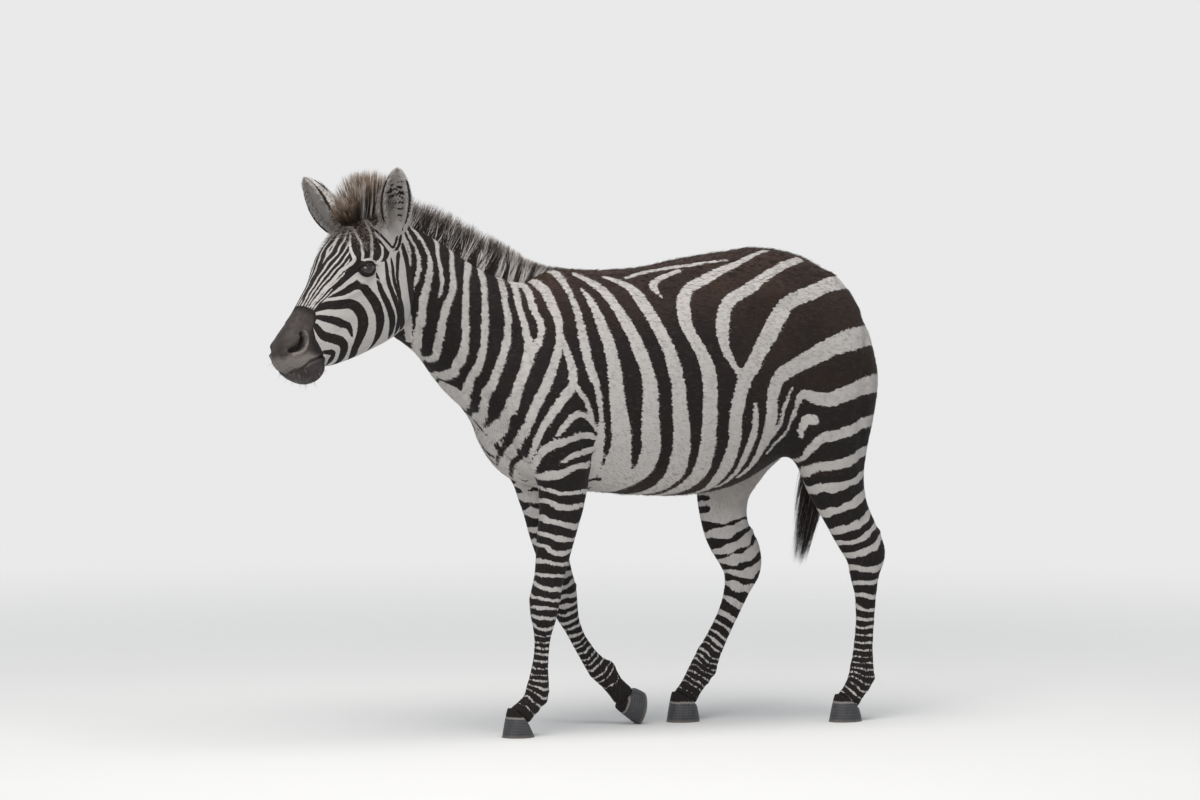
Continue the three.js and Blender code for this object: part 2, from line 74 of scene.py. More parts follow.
CORE_RINGS, CORE_SIDES = 160, 20  # faces of the cores under the mane and the forelock
CREST_TIPPED = 0.9  # strength of the tips' own colour in the mane and the forelock
# Seeds of the random draws.
SEEDS = {"coat": 100, "mane": 11, "forelock": 12, "tail": 21, "ear_hair": 31, "lashes": 41, "whiskers": 51,
         "brow": 61}
SKIN_DEPTH = 3.5  # how far the skin lies inside the solids, under its coat
EVERY_NODE_OF_FLESH = [
    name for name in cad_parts
    if not name.startswith(("eye", "mane", "forelock", "tail_tuft")) and not name.endswith("hoof")
]


def slice_row(x, top, bottom, wide, full, taper):
    """One upright slice of the trunk from its top and bottom heights."""
    middle = (top + bottom) / 2
    return (x, 0, middle, wide, top - middle, middle - bottom, full, taper)


TRUNK = [
    slice_row(850, 985, 885, 35, 2, 0),
    slice_row(838, 1045, 850, 80, 2, 0),
    slice_row(805, 1098, 810, 125, 2.1, 0),
    slice_row(745, 1155, 765, 165, 2.2, 0.02),
    slice_row(660, 1198, 705, 190, 2.2, 0.04),
    slice_row(560, 1215, 642, 200, 2.2, 0.05),
    slice_row(470, 1204, 602, 208, 2.2, 0.04),
    slice_row(350, 1188, 586, 213, 2.2, 0.04),
    slice_row(210, 1167, 592, 206, 2.2, 0.04),
    slice_row(80, 1172, 606, 188, 2.2, 0.08),
    slice_row(-25, 1173, 614, 166, 2.2, 0.12),
    slice_row(-90, 1140, 628, 150, 2.2, 0.1),
    slice_row(-150, 1080, 665, 132, 2.2, 0.04),
    slice_row(-195, 1000, 730, 100, 2.1, 0),
    slice_row(-218, 925, 795, 50, 2, 0),
]

NECK = [
    (-40, 0, 930, 125, 190, 215, 2.1, 0.2),
    (-180, 0, 995, 112, 172, 180, 2.1, 0.22),
    (-302, -12, 1078, 88, 136, 140, 2.1, 0.22),
    (-418, -30, 1152, 78, 132, 136, 2.1, 0.2),
    (-505, -48, 1200, 66, 118, 128, 2.1, 0.15),
    (-552, -60, 1222, 45, 80, 90, 2, 0.1),
]

# Slices of the head: along the face, top, bottom, half width, squareness, taper.
HEAD = [
    (-112, -92, -160, 34, 2, 0),
    (-95, -66, -200, 56, 2.1, 0),
    (-55, -28, -240, 72, 2.2, 0.05),
    (0, -4, -266, 80, 2.2, 0.12),
    (50, 4, -284, 92, 2.6, 0.04),
    (100, 5, -290, 95, 2.8, 0),
    (150, 2, -279, 85, 2.5, 0.06),
    (200, 0, -256, 68, 2.2, 0.14),
    (250, -2, -228, 56, 2.2, 0.14),
    (300, -4, -195, 48, 2.2, 0.1),
    (345, -3, -163, 48, 2.3, 0.02),
    (380, -5, -161, 51, 2.4, -0.02),
    (408, -15, -150, 47, 2.3, -0.02),
    (425, -36, -122, 33, 2.1, 0),
    (432, -56, -100, 16, 2, 0),
]

MANE = [
    (50, 0, 1156, 8, 16, 14),
    (-25, 0, 1158, 13, 28, 16),
    (-75, 0, 1150, 16, 52, 18),
    (-110, 0, 1148, 18, 78, 20),
    (-150, 0, 1150, 20, 98, 22),
    (-206, -3, 1168, 22, 110, 24),
    (-285, -12, 1205, 24, 116, 26),
    (-375, -24, 1252, 24, 106, 28),
    (-445, -32, 1292, 24, 92, 30),
    (-490, -38, 1312, 24, 96, 30),
]

FORELOCK = [
    (-492, -38, 1313, 24, 96, 30),
    (-516, -46, 1322, 25, 112, 30),
    (-548, -58, 1320, 26, 116, 30),
    (-574, -69, 1309, 22, 94, 30),
    (-588, -76, 1298, 10, 58, 20),
]

TAIL_DOCK = [
    (765, 0, 1108, 28, 26, 26),
    (815, 4, 1078, 25, 26, 26),
    (848, 14, 1008, 23, 23, 23),
    (856, 26, 915, 20, 20, 20),
    (848, 44, 825, 18, 18, 18),
    (820, 60, 740, 17, 18, 18),
]

TAIL_TUFT = [
    (820, 60, 740, 20, 22, 22),
    (793, 74, 660, 25, 34, 32),
    (766, 86, 580, 26, 38, 36),
    (748, 95, 500, 22, 32, 30),
    (738, 101, 430, 14, 20, 20),
    (733, 103, 385, 5, 6, 6),
]

LEFT_FORELEG = [
    (-80, -88, 985, 45, 90, 85),
    (-88, -103, 900, 62, 112, 105),
    (-68, -112, 805, 64, 112, 108),
    (-42, -116, 718, 60, 92, 92),
    (-30, -113, 645, 50, 70, 70),
    (-36, -108, 565, 44, 57, 58),
    (-48, -104, 495, 39, 51, 51),
    (-62, -100, 405, 34, 41, 41),
    (-73, -97, 345, 36, 40, 40, 2.4),
    (-75, -95, 298, 31, 35, 33, 2.2),
    (-78, -92, 252, 20, 23, 25),
    (-82, -90, 200, 18, 21, 24),
    (-87, -88, 152, 22, 25, 29),
    (-91, -86, 119, 26, 28, 35),
    (-106, -85, 88, 23, 27, 31),
    (-127, -85, 64, 27, 31, 31),
    (-140, -85, 50, 32, 36, 33),
]

RIGHT_FORELEG = [
    (-78, 88, 985, 45, 90, 85),
    (-82, 103, 900, 62, 112, 105),
    (-60, 112, 805, 64, 108, 108),
    (-28, 116, 718, 60, 90, 92),
    (-2, 113, 645, 50, 68, 70),
    (14, 108, 565, 44, 56, 58),
    (27, 104, 495, 39, 50, 51),
    (48, 99, 405, 34, 41, 41),
    (62, 95, 345, 36, 40, 40, 2.4),
    (73, 93, 298, 31, 35, 33, 2.2),
    (90, 90, 252, 20, 24, 26),
    (113, 88, 208, 18, 22, 25),
    (140, 85, 167, 22, 25, 29),
    (163, 83, 139, 26, 28, 38),
    (187, 82, 115, 24, 27, 31),
    (212, 81, 90, 25, 28, 30),
    (234, 80, 68, 31, 35, 33),
]

LEFT_HINDLEG = [
    (645, -80, 1125, 45, 95, 100),
    (680, -94, 1025, 84, 140, 132),
    (708, -100, 905, 92, 150, 146),
    (715, -104, 785, 82, 132, 130),
    (726, -105, 690, 68, 106, 100),
    (743, -103, 610, 52, 83, 77),
    (769, -100, 540, 42, 66, 64),
    (800, -97, 475, 36, 58, 64),
    (824, -94, 422, 36, 48, 63),
    (829, -92, 372, 32, 43, 40),
    (831, -91, 322, 25, 32, 31),
    (829, -90, 260, 21, 27, 29),
    (823, -90, 190, 21, 27, 31),
    (818, -90, 132, 26, 31, 37),
    (809, -90, 100, 27, 31, 39),
    (793, -90, 70, 26, 31, 33),
    (780, -90, 50, 31, 37, 34),
]

RIGHT_HINDLEG = [
    (635, 80, 1110, 45, 95, 100),
    (645, 94, 1010, 84, 140, 145),
    (630, 100, 890, 92, 146, 168),
    (596, 104, 770, 82, 128, 145),
    (552, 104, 675, 67, 102, 106),
    (522, 101, 595, 52, 79, 78),
    (517, 97, 532, 43, 66, 67),
    (527, 93, 473, 38, 60, 66),
    (550, 90, 420, 36, 52, 72),
    (560, 88, 378, 33, 45, 61),
    (552, 86, 335, 27, 38, 39),
    (532, 85, 285, 22, 31, 32),
    (500, 84, 225, 21, 29, 32),
    (462, 82, 160, 26, 32, 37),
    (440, 82, 122, 27, 32, 39),
    (418, 82, 85, 26, 31, 33),
    (402, 82, 58, 31, 37, 34),
]

# Each hoof: its leg, the middle of its sole, the way its toe points, and the sole's half length and width.
HOOVES = {
    "foreleg_left_hoof": (LEFT_FORELEG, (-137, -85, 0), (-1, 0, 0), (47, 36)),
    "foreleg_right_hoof": (RIGHT_FORELEG, (278, 80, 42), (-0.2, 0, -0.98), (47, 36)),
    "hindleg_left_hoof": (LEFT_HINDLEG, (779, -90, 0), (-1, 0, 0), (49, 34)),
    "hindleg_right_hoof": (RIGHT_HINDLEG, (402, 82, 0), (-1, 0, 0), (49, 34)),
}

# ---- Stripes --------------------------------------------------------------------------------------------


def strokes_from(text):
    """Strokes from a table in millimetres: a stroke ends at each slash, and its places are written as
    along, up and, for most, half width."""
    return [[tuple(float(number) / 1000 for number in place.split(",")) for place in stroke.split()]
            for stroke in text.split("/")]


# White strokes on the dark flank: along the body, up the side, half width. See side_chart.
NECK_STROKES = strokes_from("""
    -500,1330,6 -478,1280,7 -462,1250,6 -465,1210,8 -482,1170,10 -485,1130,11 -470,1080,14 -455,1030,13
    -440,980,9 /
    -470,1330,7 -452,1280,7 -436,1250,6 -434,1200,8 -445,1160,6 -450,1140,3 /
    -440,1330,7 -410,1270,6 -400,1220,8 -412,1150,11 -425,1100,13 -425,1000,12 -410,940,10 -390,915,10
    -372,945,10 -370,1045,12 -358,1095,12 -340,1140,10 -335,1185,9 -325,1240,9 -300,1300,10 /
    -360,1300,9 -370,1240,7 -370,1160,7 -380,1120,4 /
    -240,1280,12 -275,1220,12 -295,1160,10 -305,1100,11 -305,1020,11 -310,970,13 -325,915,14 -345,880,14 /
    -345,845,14 -320,850,14 -300,835,14 -300,800,12 /
    -230,1250,14 -240,1150,10 -250,1100,11 -255,1010,11 -268,950,11 -283,900,12 -285,840,12 -275,790,14 /
    -175,1220,12 -185,1130,11 -190,1060,11 -195,1010,11 -210,965,11 -230,915,11 -245,860,10 -240,800,9
    -235,740,12 /
    -140,1220,13 -148,1120,11 -148,1050,11 -142,985,13 -155,945,14 -180,890,14 -198,830,14 -205,770,15
    -215,710,13 /
    -120,1220,12 -112,1170,12 -113,1115,10 -105,1055,10 -115,1010,10 -140,975,10 /
    -90,1220,10 -75,1170,13 -68,1115,13 -60,1060,10 -65,1010,9 -80,960,12 -105,905,14 -135,855,14
    -160,800,12 -172,740,10 -175,680,10 /
    -275,770,8 -250,735,17 -222,690,23 -185,650,22 -150,610,18 /
    -163,690,6 -163,670,14 -150,635,14 /
    -160,620,20 -120,585,22 -70,565,22 -20,550,20
""")
SHOULDER_STROKES = strokes_from("""
    -60,1030,8 -50,985,10 -40,940,11 -42,895,12 -65,865,12 -100,825,12 -128,780,9.5 -142,735,8 -148,690,5 /
    -40,900,9 -25,875,7 -5,845,7 10,805,6 25,770,5 /
    -95,760,5 -75,785,9 -50,810,10 -25,820,8 0,805,7 20,780,5 /
    -135,660,10 -133,700,8 -115,733,12 -90,745,12 -55,756,10 -20,765,9 20,750,7 /
    -80,695,4 -60,705,7 -30,718,9 20,715,9 /
    -125,650,11 -105,664,13 -85,665,13 -60,673,10 -30,685,9 10,675,9
""")
ELBOW_STROKES = strokes_from("""
    36,810,5 37,750,12 36,680,16 34,620,18 20,570,20 /
    74,830,5 79,760,12 77,700,15 70,640,16 60,580,14
""")
TRUNK_STROKES = strokes_from("""
    -30,1250,14 -20,1170,10 -10,1100,11 -5,1035,12 0,970,13 10,925,12 25,870,9 35,800,6 /
    15,1170,5 30,1135,11 42,1080,13 55,1020,15 67,940,17 75,845,21 85,775,25 95,700,27 105,630,28 90,560,30
    60,500,25 /
    20,1230,8 55,1190,13 80,1150,14 100,1090,15 120,1035,16 135,980,18 150,935,17 160,870,20 163,775,25
    172,705,26 165,645,27 140,590,22 110,540,16 /
    95,1220,6 125,1200,12 155,1165,15 172,1110,17 190,1050,17 210,990,17 225,930,19 235,875,19 240,820,21
    250,745,24 255,675,26 250,610,26 225,550,20 190,510,14 /
    560,1285,6 515,1270,7 465,1245,9 405,1220,13 350,1192,16 310,1172,15 285,1145,16 270,1105,18
    268,1055,17 285,1005,16 305,960,18 318,915,20 322,860,20 325,735,22 325,660,23 315,600,23 290,550,20
    260,510,12 /
    300,1235,7 250,1215,8 220,1195,9 210,1170,9 222,1140,3 /
    150,1215,4 185,1230,6 230,1245,6 340,1255,6 435,1260,3
""")
RUMP_STROKES = strokes_from("""
    640,1245,12 580,1220,13 515,1185,14 460,1150,17 410,1125,18 385,1100,17 370,1060,20 365,1020,17
    368,975,13 385,940,9 405,905,7 /
    800,1160,25 720,1150,24 675,1140,21 620,1120,21 565,1100,21 535,1070,23 505,1025,24 470,975,22
    443,930,21 420,900,21 405,850,20 397,790,19 400,725,18 395,660,20 385,600,18 370,540,13 340,510,8 /
    450,830,5 455,775,10 450,720,11 440,660,11 430,605,8 400,550,6 /
    860,985,26 790,990,26 730,983,28 680,970,25 630,950,25 585,930,23 540,910,22 515,885,20 502,845,18
    500,795,17 495,730,16 485,675,12 470,625,9 445,590,5 /
    860,870,24 800,868,24 740,855,21 685,837,20 645,832,18 605,842,15 587,840,12 578,815,8 570,785,6
    557,750,5 536,710,5 512,670,4 /
    561,865,3 546,830,6 533,785,6.5 518,740,6 498,690,5 475,645,4 /
    628,776,14 608,772,14 598,745,10 602,718,4 /
    850,775,15 780,770,15 745,757,14 705,745,15 660,733,14 637,710,12 620,675,9 610,630,6 /
    850,700,13 780,693,13 740,675,14 690,656,14 655,643,13 637,620,11 632,590,7 /
    850,645,10 775,625,10 735,606,11 695,588,12 665,567,11 640,540,9
""")
FLANK_STROKES = NECK_STROKES + SHOULDER_STROKES + ELBOW_STROKES + TRUNK_STROKES + RUMP_STROKES

# Dark strokes down the pale chest as it is seen from ahead, alike on both sides: aside from the body's
# middle, up, half width.
CHEST_STROKES = strokes_from("""
    142,808,13 120,780,10 97,757,9 74,735,6 39,708,5 12,690,3.5 0,680,2 /
    150,757,5.5 127,728,6 77,699,5.5 40,667,4 10,652,3
""")

# Short dark strokes across the middle of the breast, seen the same way: to the right, up, half width.
BREAST_STROKES = strokes_from("""
    30,803,1 14,792,4 -8,771,3 -25,761,0.6 /
    45,750,1 33,730,4 18,713,5.5 -8,707,4.5 /
    50,695,1 40,676,3 27,668,1
""")

# White strokes on the dark brow and poll: along the face, up its side, half width. See face_chart.
BROW_STROKES = strokes_from("""
    262,-4,2 234,-4,3 200,-5,4 171,-6,5 145,-5,5 124,-12,5 104,-14,5 90,3,4 69,17,3 32,28,2 /
    10,27,2 35,9,4 53,-10,4 90,-32,4 /
    -30,10,3 1,-22,4 30,-38,5 73,-53,5 /
    -20,-30,2 0,-50,3 23,-74,4 49,-80,4 70,-75,4 /
    -30,-50,3 -7,-75,4 6,-100,5 30,-104,5 66,-94,5 /
    -30,0,2 -12,-40,3 -4,-80,3 -10,-100,3 -35,-110,3
""")

# Dark strokes on the pale cheek, in the same chart.
CHEEK_STROKES = strokes_from("""
    205,-36,3 181,-52,8 158,-60,10 145,-76,10 144,-102,10 147,-132,11 156,-161,10 170,-193,10 188,-221,9
    210,-245,5 /
    262,-22,6 237,-38,10 212,-67,11 192,-90,11 189,-121,12 198,-150,13 217,-170,13 240,-182,13 260,-200,12
    268,-235,9 /
    273,-45,6 254,-80,9 241,-110,9 234,-133,7 241,-150,4 /
    300,-52,8 304,-81,11 288,-114,11 276,-140,11 280,-162,12 295,-180,12 310,-200,10 /
    327,-122,5 312,-142,6 322,-156,7 335,-180,5 /
    97,-100,4 112,-121,6 122,-147,7 132,-181,8 142,-215,8 155,-255,7 /
    50,-100,4 78,-127,6 96,-159,7 110,-194,7 124,-230,6 136,-265,6 /
    35,-118,4 63,-143,5 82,-173,5 98,-206,7 112,-241,8 118,-280,8 /
    0,-128,6 25,-138,6 53,-153,4 73,-178,3 /
    -30,-130,6 -5,-170,10 22,-197,13 45,-230,15 60,-270,15 75,-310,12 /
    140,-32,3 161,-29,4 182,-26,4 212,-20,4 243,-16,3 /
    105,-45,5 128,-28,4 150,-20,4
""")

# Dark strokes in a V below each ear's root, in the same chart.
EAR_ROOT_STROKES = strokes_from("""
    -16,-6,3 -13,-28,3 -11,-47,3.5 -8,-70,3 -5,-92,3 -6,-101,3 -19,-103,3 -36,-100,3 /
    -4,-5,3 4,-28,3.5 6,-50,3.5 9,-66,3 14,-84,3 16,-100,3.5 -3,-113,3.5 -26,-115,4 -45,-110,4 /
    30,-60,4 26,-85,5 22,-105,4 /
    -60,-125,4 -30,-130,5 0,-135,4
""")

# Where the dark bare muzzle ends: the height up the face's side against metres along the face.
MUZZLE_EDGE = ([-0.2, -0.155, -0.13, -0.106, -0.069, -0.045, -0.04, -0.024, 0.0, 0.03],
               [0.352, 0.35, 0.338, 0.335, 0.327, 0.307, 0.285, 0.268, 0.27, 0.275])

# The nostril's hollow with its half width, its thick lower rim, the pale upper lip, which narrows
# backwards, the dark skin at the mouth's corner, and the mouth from its middle to its corner, in the same
# chart.
NOSTRIL, NOSTRIL_RIM, LIP, MOUTH_CORNER, MOUTH = strokes_from("""
    400,-23,1.5 389,-33,3.5 377,-39,5.5 363,-41,6.5 351,-36,5 344,-28,3 /
    404,-38 390,-49 372,-55 354,-52 339,-41 336,-30 /
    420,-48,0 410,-62,0 390,-75,-3 370,-90,-10 358,-103,-14 /
    330,-62 345,-85 /
    440,-66 431,-72 414,-81 384,-91 351,-114 341,-123
""")

# ---- Curves and lofts -----------------------------------------------------------------------------------


def stations_of(rows):
    """A table's rows with squareness 2 and taper 0 filled in, moved to the centred frame and to metres."""
    table = np.array([tuple(row) + (2, 0)[len(row) - 6:] for row in rows], float)
    table[:, :3] -= BODY_CENTRE
    table[:, :6] *= 0.001
    return table


def turned(vector, axis, angle):
    """The vector turned about a unit axis: cosine part, sine part and the part along the axis."""
    vector = np.asarray(vector, float)
    return (vector * math.cos(angle) + np.cross(axis, vector) * math.sin(angle)
            + axis * (axis @ vector) * (1 - math.cos(angle)))


HEAD_FORWARD = np.array([-math.cos(HEAD_YAW), -math.sin(HEAD_YAW), 0.0])
HEAD_ALONG = HEAD_FORWARD * math.cos(HEAD_PITCH) - np.array([0, 0, math.sin(HEAD_PITCH)])
HEAD_RIGHT = turned((-math.sin(HEAD_YAW), math.cos(HEAD_YAW), 0), HEAD_ALONG, HEAD_ROLL)
HEAD_ABOVE = np.cross(HEAD_RIGHT, HEAD_ALONG)
HEAD_ORIGIN = (FOREHEAD - BODY_CENTRE) * 0.001


def head_point(along, aside, above):
    """A point in metres from millimetres along the face, aside to the right and above its bridge."""
    return HEAD_ORIGIN + 0.001 * (HEAD_ALONG * along + HEAD_RIGHT * aside + HEAD_ABOVE * above)


def head_rows():
    """The head's slices as rows of a loft, in the tables' own axes."""
    rows = []
    for along, top, bottom, wide, full, taper in HEAD:
        middle = (top + bottom) / 2
        centre = head_point(along, 0, middle) * 1000 + BODY_CENTRE
        rows.append((*centre, wide, top - middle, middle - bottom, full, taper))
    return rows


def smooth_rows(rows, u):
    """Catmull-Rom: each result is a cubic blend of the two rows round u and of their two neighbours."""
    last = len(rows) - 1
    index = np.clip(np.floor(u).astype(int), 0, last - 1)
    t = (u - index)[:, None]
    a, b = rows[np.maximum(index - 1, 0)], rows[index]
    c, d = rows[index + 1], rows[np.minimum(index + 2, last)]
    return 0.5 * (2 * b + (c - a) * t + (2 * a - 5 * b + 4 * c - d) * t**2 + (3 * b - a - 3 * c + d) * t**3)


def unit(vectors):
    """Vectors scaled to length one."""
    return vectors / np.maximum(np.linalg.norm(vectors, axis=-1, keepdims=True), 1e-12)


def ring_frames(rows, u, across, along=None):
    """For each u: the station's values, the loft's direction, its sideways axis and its upward axis."""
    values = smooth_rows(rows, u)
    last = len(rows) - 1
    if along is None:
        ahead = smooth_rows(rows, np.minimum(u + 0.05, last))[:, :3]
        direction = unit(ahead - smooth_rows(rows, np.maximum(u - 0.05, 0))[:, :3])
    else:
        direction = np.tile(np.asarray(along, float), (len(u), 1))
    side = unit(across - direction * (direction @ across)[:, None])
    return values, direction, side, np.cross(side, direction)


def loft_rings(rows, u, sides, across, along=None, inset=0.0):
    """Rings of superellipses: reach is |cos| to the power 2/full times the half width, and rise is |sin| to
    the same power times the half height, above or below. The top is narrower than the bottom by the
    taper."""
    values, _, side, above = ring_frames(rows, u, across, along)
    angle = np.linspace(0, 2 * np.pi, sides, endpoint=False)
    cos, sin = np.cos(angle), np.sin(angle)
    power = 2 / values[:, 6:7]
    reach = np.sign(cos) * np.abs(cos) ** power * np.maximum(values[:, 3:4] - inset, 0.002)
    reach = reach * (1 - values[:, 7:8] * sin)
    half = np.where(sin > 0, values[:, 4:5], values[:, 5:6])
    rise = np.sign(sin) * np.abs(sin) ** power * np.maximum(half - inset, 0.002)
    return values[:, None, :3] + reach[..., None] * side[:, None] + rise[..., None] * above[:, None]


def rings_mesh(rings):
    """Points and faces of a closed shape through a stack of rings, each end closed by a fan."""
    count, sides = rings.shape[:2]
    points = np.concatenate([rings.reshape(-1, 3), rings[0].mean(0)[None], rings[-1].mean(0)[None]])
    k = np.arange(sides)
    n = (k + 1) % sides
    row = (np.arange(count - 1) * sides)[:, None]
    quads = np.stack([row + k, row + sides + k, row + sides + n, row + n], -1).reshape(-1, 4)
    hub = count * sides
    end = (count - 1) * sides
    faces = quads.tolist()
    faces += np.stack([np.full(sides, hub), k, n], -1).tolist()
    faces += np.stack([np.full(sides, hub + 1), end + n, end + k], -1).tolist()
    return points, faces


ACROSS_BODY = np.array([0.0, 1.0, 0.0])
TRUNK_ROWS = stations_of(TRUNK)
NECK_ROWS = stations_of(NECK)
HEAD_ROWS = stations_of(head_rows())
DOCK_ROWS = stations_of(TAIL_DOCK)
NOSE_TIP = head_point(426, 0, -40)
LEG_ROWS = {
    "foreleg_left": stations_of(LEFT_FORELEG),
    "foreleg_right": stations_of(RIGHT_FORELEG),
    "hindleg_left": stations_of(LEFT_HINDLEG),
    "hindleg_right": stations_of(RIGHT_HINDLEG),
}


def even(rows, step):
    """Positions along a loft, step apart, from its first to its last station."""
    last = len(rows) - 1
    return np.linspace(0, last, int(round(last / step)) + 1)


# ---- Ears -----------------------------------------------------------------------------------------------

EARS = {
    # root along, aside and above the face; turn of the opening; lean forwards and outwards
    "left": ((-52, -75, -78), math.radians(60), (0.41, 0.42)),
    "right": ((-38, 92, -74), math.radians(14), (0.55, 0.6)),
}


def ear_axes(side):
    """Root, unit direction, the way the opening faces, and the axis across the ear."""
    (along, aside, above), turn, (forward, outward) = EARS[side]
    root = head_point(along, aside, above)
    up = HEAD_FORWARD * forward + HEAD_RIGHT * np.sign(aside) * outward + np.array([0, 0, 1.0])
    up = unit(up)
    opening = np.array([-math.cos(turn), -math.sin(turn), 0.0])
    front = unit(opening - up * (opening @ up))
    return root, up, front, np.cross(front, up)


def ear_radius(t):
    """The ear's tube swells from its root and closes to a round tip: a power of a sine of the length
    travelled."""
    phase = np.clip(0.22 + 0.78 * t, 0, 1) ** 1.05
    return 0.003 + 0.0395 * np.maximum(np.sin(np.pi * phase), 0) ** 0.58


def ear_half(t):
    """The angle from the middle of the ear's back to its open edge: nearly a full tube at the root, less
    after."""
    return np.radians(150 - 62 * np.clip(t, 0, 1))


def ear_bow(t):
    """How far the ear's line is ahead of the straight line from its root: half a sine wave, set back."""
    return 0.010 * np.sin(np.pi * np.clip(t, 0, 1)) - 0.004


def ear_rings(side, wall=0.0068, levels=30, steps=18):
    """A cupped leaf as a stack of C-shaped rings: each is an arc round the ear's line, from nearly a full
    tube at the root to an open blade at the tip, gone round once on the outer radius and back on the
    inner."""
    root, up, front, across = ear_axes(side)
    t = 1 - 1.1 * np.linspace(1, 0, levels) ** 1.5
    radius = ear_radius(t)[:, None]
    swing = np.linspace(-1, 1, steps)[None]
    thick = np.minimum(wall, radius * 0.6) * (1 - 0.3 * swing**4)
    centre = root + up * (EAR_LENGTH * t)[:, None] + front * ear_bow(t)[:, None]
    angle = ear_half(t)[:, None] * swing
    outward = np.sin(angle)[..., None] * across - np.cos(angle)[..., None] * front
    outer = centre[:, None] + outward * (radius - 0.001)[..., None]
    inner = centre[:, None] + outward * (radius - 0.001 - thick)[..., None]
    return np.concatenate([outer, inner[:, ::-1]], 1)


def ear_mesh(side):
    """The ear's rings joined in a tube whose two ends are closed between its outer and inner arcs."""
    rings = ear_rings(side)
    points, faces = rings_mesh(rings)
    count, sides = rings.shape[:2]
    faces = [face for face in faces if len(face) == 4]
    half = sides // 2
    for start in (0, (count - 1) * sides):
        for k in range(half - 1):
            faces.append([start + k, start + k + 1, start + sides - 2 - k, start + sides - 1 - k])
    return points[:-2], faces


# ---- Charts: flat coordinates on the body's surface ------------------------------------------------------

SIDE_X = [-0.53, -0.431, -0.315, -0.193, -0.038, 0.067, 0.197, 0.337, 0.457, 0.547, 0.647, 0.732, 0.792,
          0.825]
SIDE_WIDTH = [0.066, 0.078, 0.088, 0.112, 0.166, 0.188, 0.206, 0.213, 0.208, 0.2, 0.19, 0.165, 0.125, 0.08]
SIDE_MIDDLE = [1.2, 1.152, 1.078, 0.995, 0.893, 0.889, 0.88, 0.887, 0.903, 0.928, 0.951, 0.96, 0.954, 0.94]
FACE_ALONG = [-0.112, -0.095, -0.055, 0, 0.05, 0.1, 0.15, 0.2, 0.25, 0.3, 0.345, 0.38, 0.408, 0.425]
FACE_WIDTH = [0.034, 0.056, 0.072, 0.08, 0.092, 0.095, 0.085, 0.068, 0.056, 0.048, 0.048, 0.051, 0.047, 0.033]
FACE_MIDDLE = [-0.126, -0.133, -0.134, -0.135, -0.14, -0.1425, -0.1385, -0.128, -0.115, -0.0995, -0.083,
               -0.083, -0.0825, -0.079]


def body_aside(points):
    """How far each point is to the right of the body's middle, which bends to the left along the neck."""
    middle = np.interp(points[:, 0], [-0.518, -0.431, -0.315, -0.193], [-0.04, -0.022, -0.004, MIDDLE_Y])
    return points[:, 1] - middle


def side_chart(points):
    """Metres along the body, and the height plus half of how far the surface has curved in from the side's
    full width, away from the middle height, so that a stripe keeps its width over the back and under the
    belly."""
    x = points[:, 0]
    width = np.interp(x, SIDE_X, SIDE_WIDTH)
    middle = np.interp(x, SIDE_X, SIDE_MIDDLE)
    inward = np.maximum(width - np.abs(body_aside(points)), 0)
    return np.stack([x, points[:, 2] + np.sign(points[:, 2] - middle) * 0.5 * inward], 1)


def face_axes(points):
    """Metres along the face, aside to the right and above its bridge."""
    offset = points - HEAD_ORIGIN
    return np.stack([offset @ HEAD_ALONG, offset @ HEAD_RIGHT, offset @ HEAD_ABOVE], 1)


def face_chart(points):
    """As side_chart, in the head's own axes: metres along the face, and the height up its side."""
    along, aside, above = face_axes(points).T
    width = np.interp(along, FACE_ALONG, FACE_WIDTH)
    middle = np.interp(along, FACE_ALONG, FACE_MIDDLE)
    inward = np.maximum(width - np.abs(aside), 0)
    return np.stack([along, above + np.sign(above - middle) * 0.5 * inward], 1)


def gap_to(points, place):
    """Distance from each point to a place."""
    return np.linalg.norm(points - place, axis=1)


def path_distance(points, path, margin=FAR):
    """Distance from each point to a path of straight pieces less the path's own half width there, which is
    the path's last column when it has one more column than the points. Far points get the margin."""
    path = np.asarray(path, float)
    size = points.shape[1]
    result = np.full(len(points), margin)
    low, high = path[:, :size].min(0) - margin, path[:, :size].max(0) + margin
    near = np.nonzero(np.all((points > low) & (points < high), axis=1))[0]
    if len(near) == 0:
        return result
    chosen = points[near]
    best = np.full(len(near), margin)
    for start, end in zip(path[:-1], path[1:]):
        step = end[:size] - start[:size]
        share = np.clip(((chosen - start[:size]) @ step) / max(step @ step, 1e-12), 0, 1)
        gap = gap_to(chosen, start[:size] + share[:, None] * step)
        if path.shape[1] > size:
            gap = gap - (start[size] + share * (end[size] - start[size]))
        best = np.minimum(best, gap)
    result[near] = best
    return result


def path_side(points, path):
    """Which side of a path each point is on, in metres from the path's chord: above it is positive."""
    start, end = np.asarray(path[0])[:2], np.asarray(path[-1])[:2]
    step = (start - end) / np.linalg.norm(start - end)
    offset = points - end
    return offset[:, 1] * step[0] - offset[:, 0] * step[1]


def smoothed(path):
    """A path rounded by Catmull-Rom, with three pieces between each two of its points."""
    rows = np.asarray(path, float)
    return smooth_rows(rows, np.linspace(0, len(rows) - 1, (len(rows) - 1) * 3 + 1))


def pointed(stroke):
    """A stroke whose ends run on by half their own piece to a point."""
    rows = np.asarray(stroke, float)
    start, end = 1.5 * rows[0] - 0.5 * rows[1], 1.5 * rows[-1] - 0.5 * rows[-2]
    start[2] = end[2] = 0.0003
    return np.vstack([start, rows, end])


def strokes_distance(points, strokes):
    """Distance to the nearest edge of a set of strokes, below zero inside one."""
    return np.minimum.reduce([np.full(len(points), FAR)]
                             + [path_distance(points, smoothed(stroke)) for stroke in strokes])


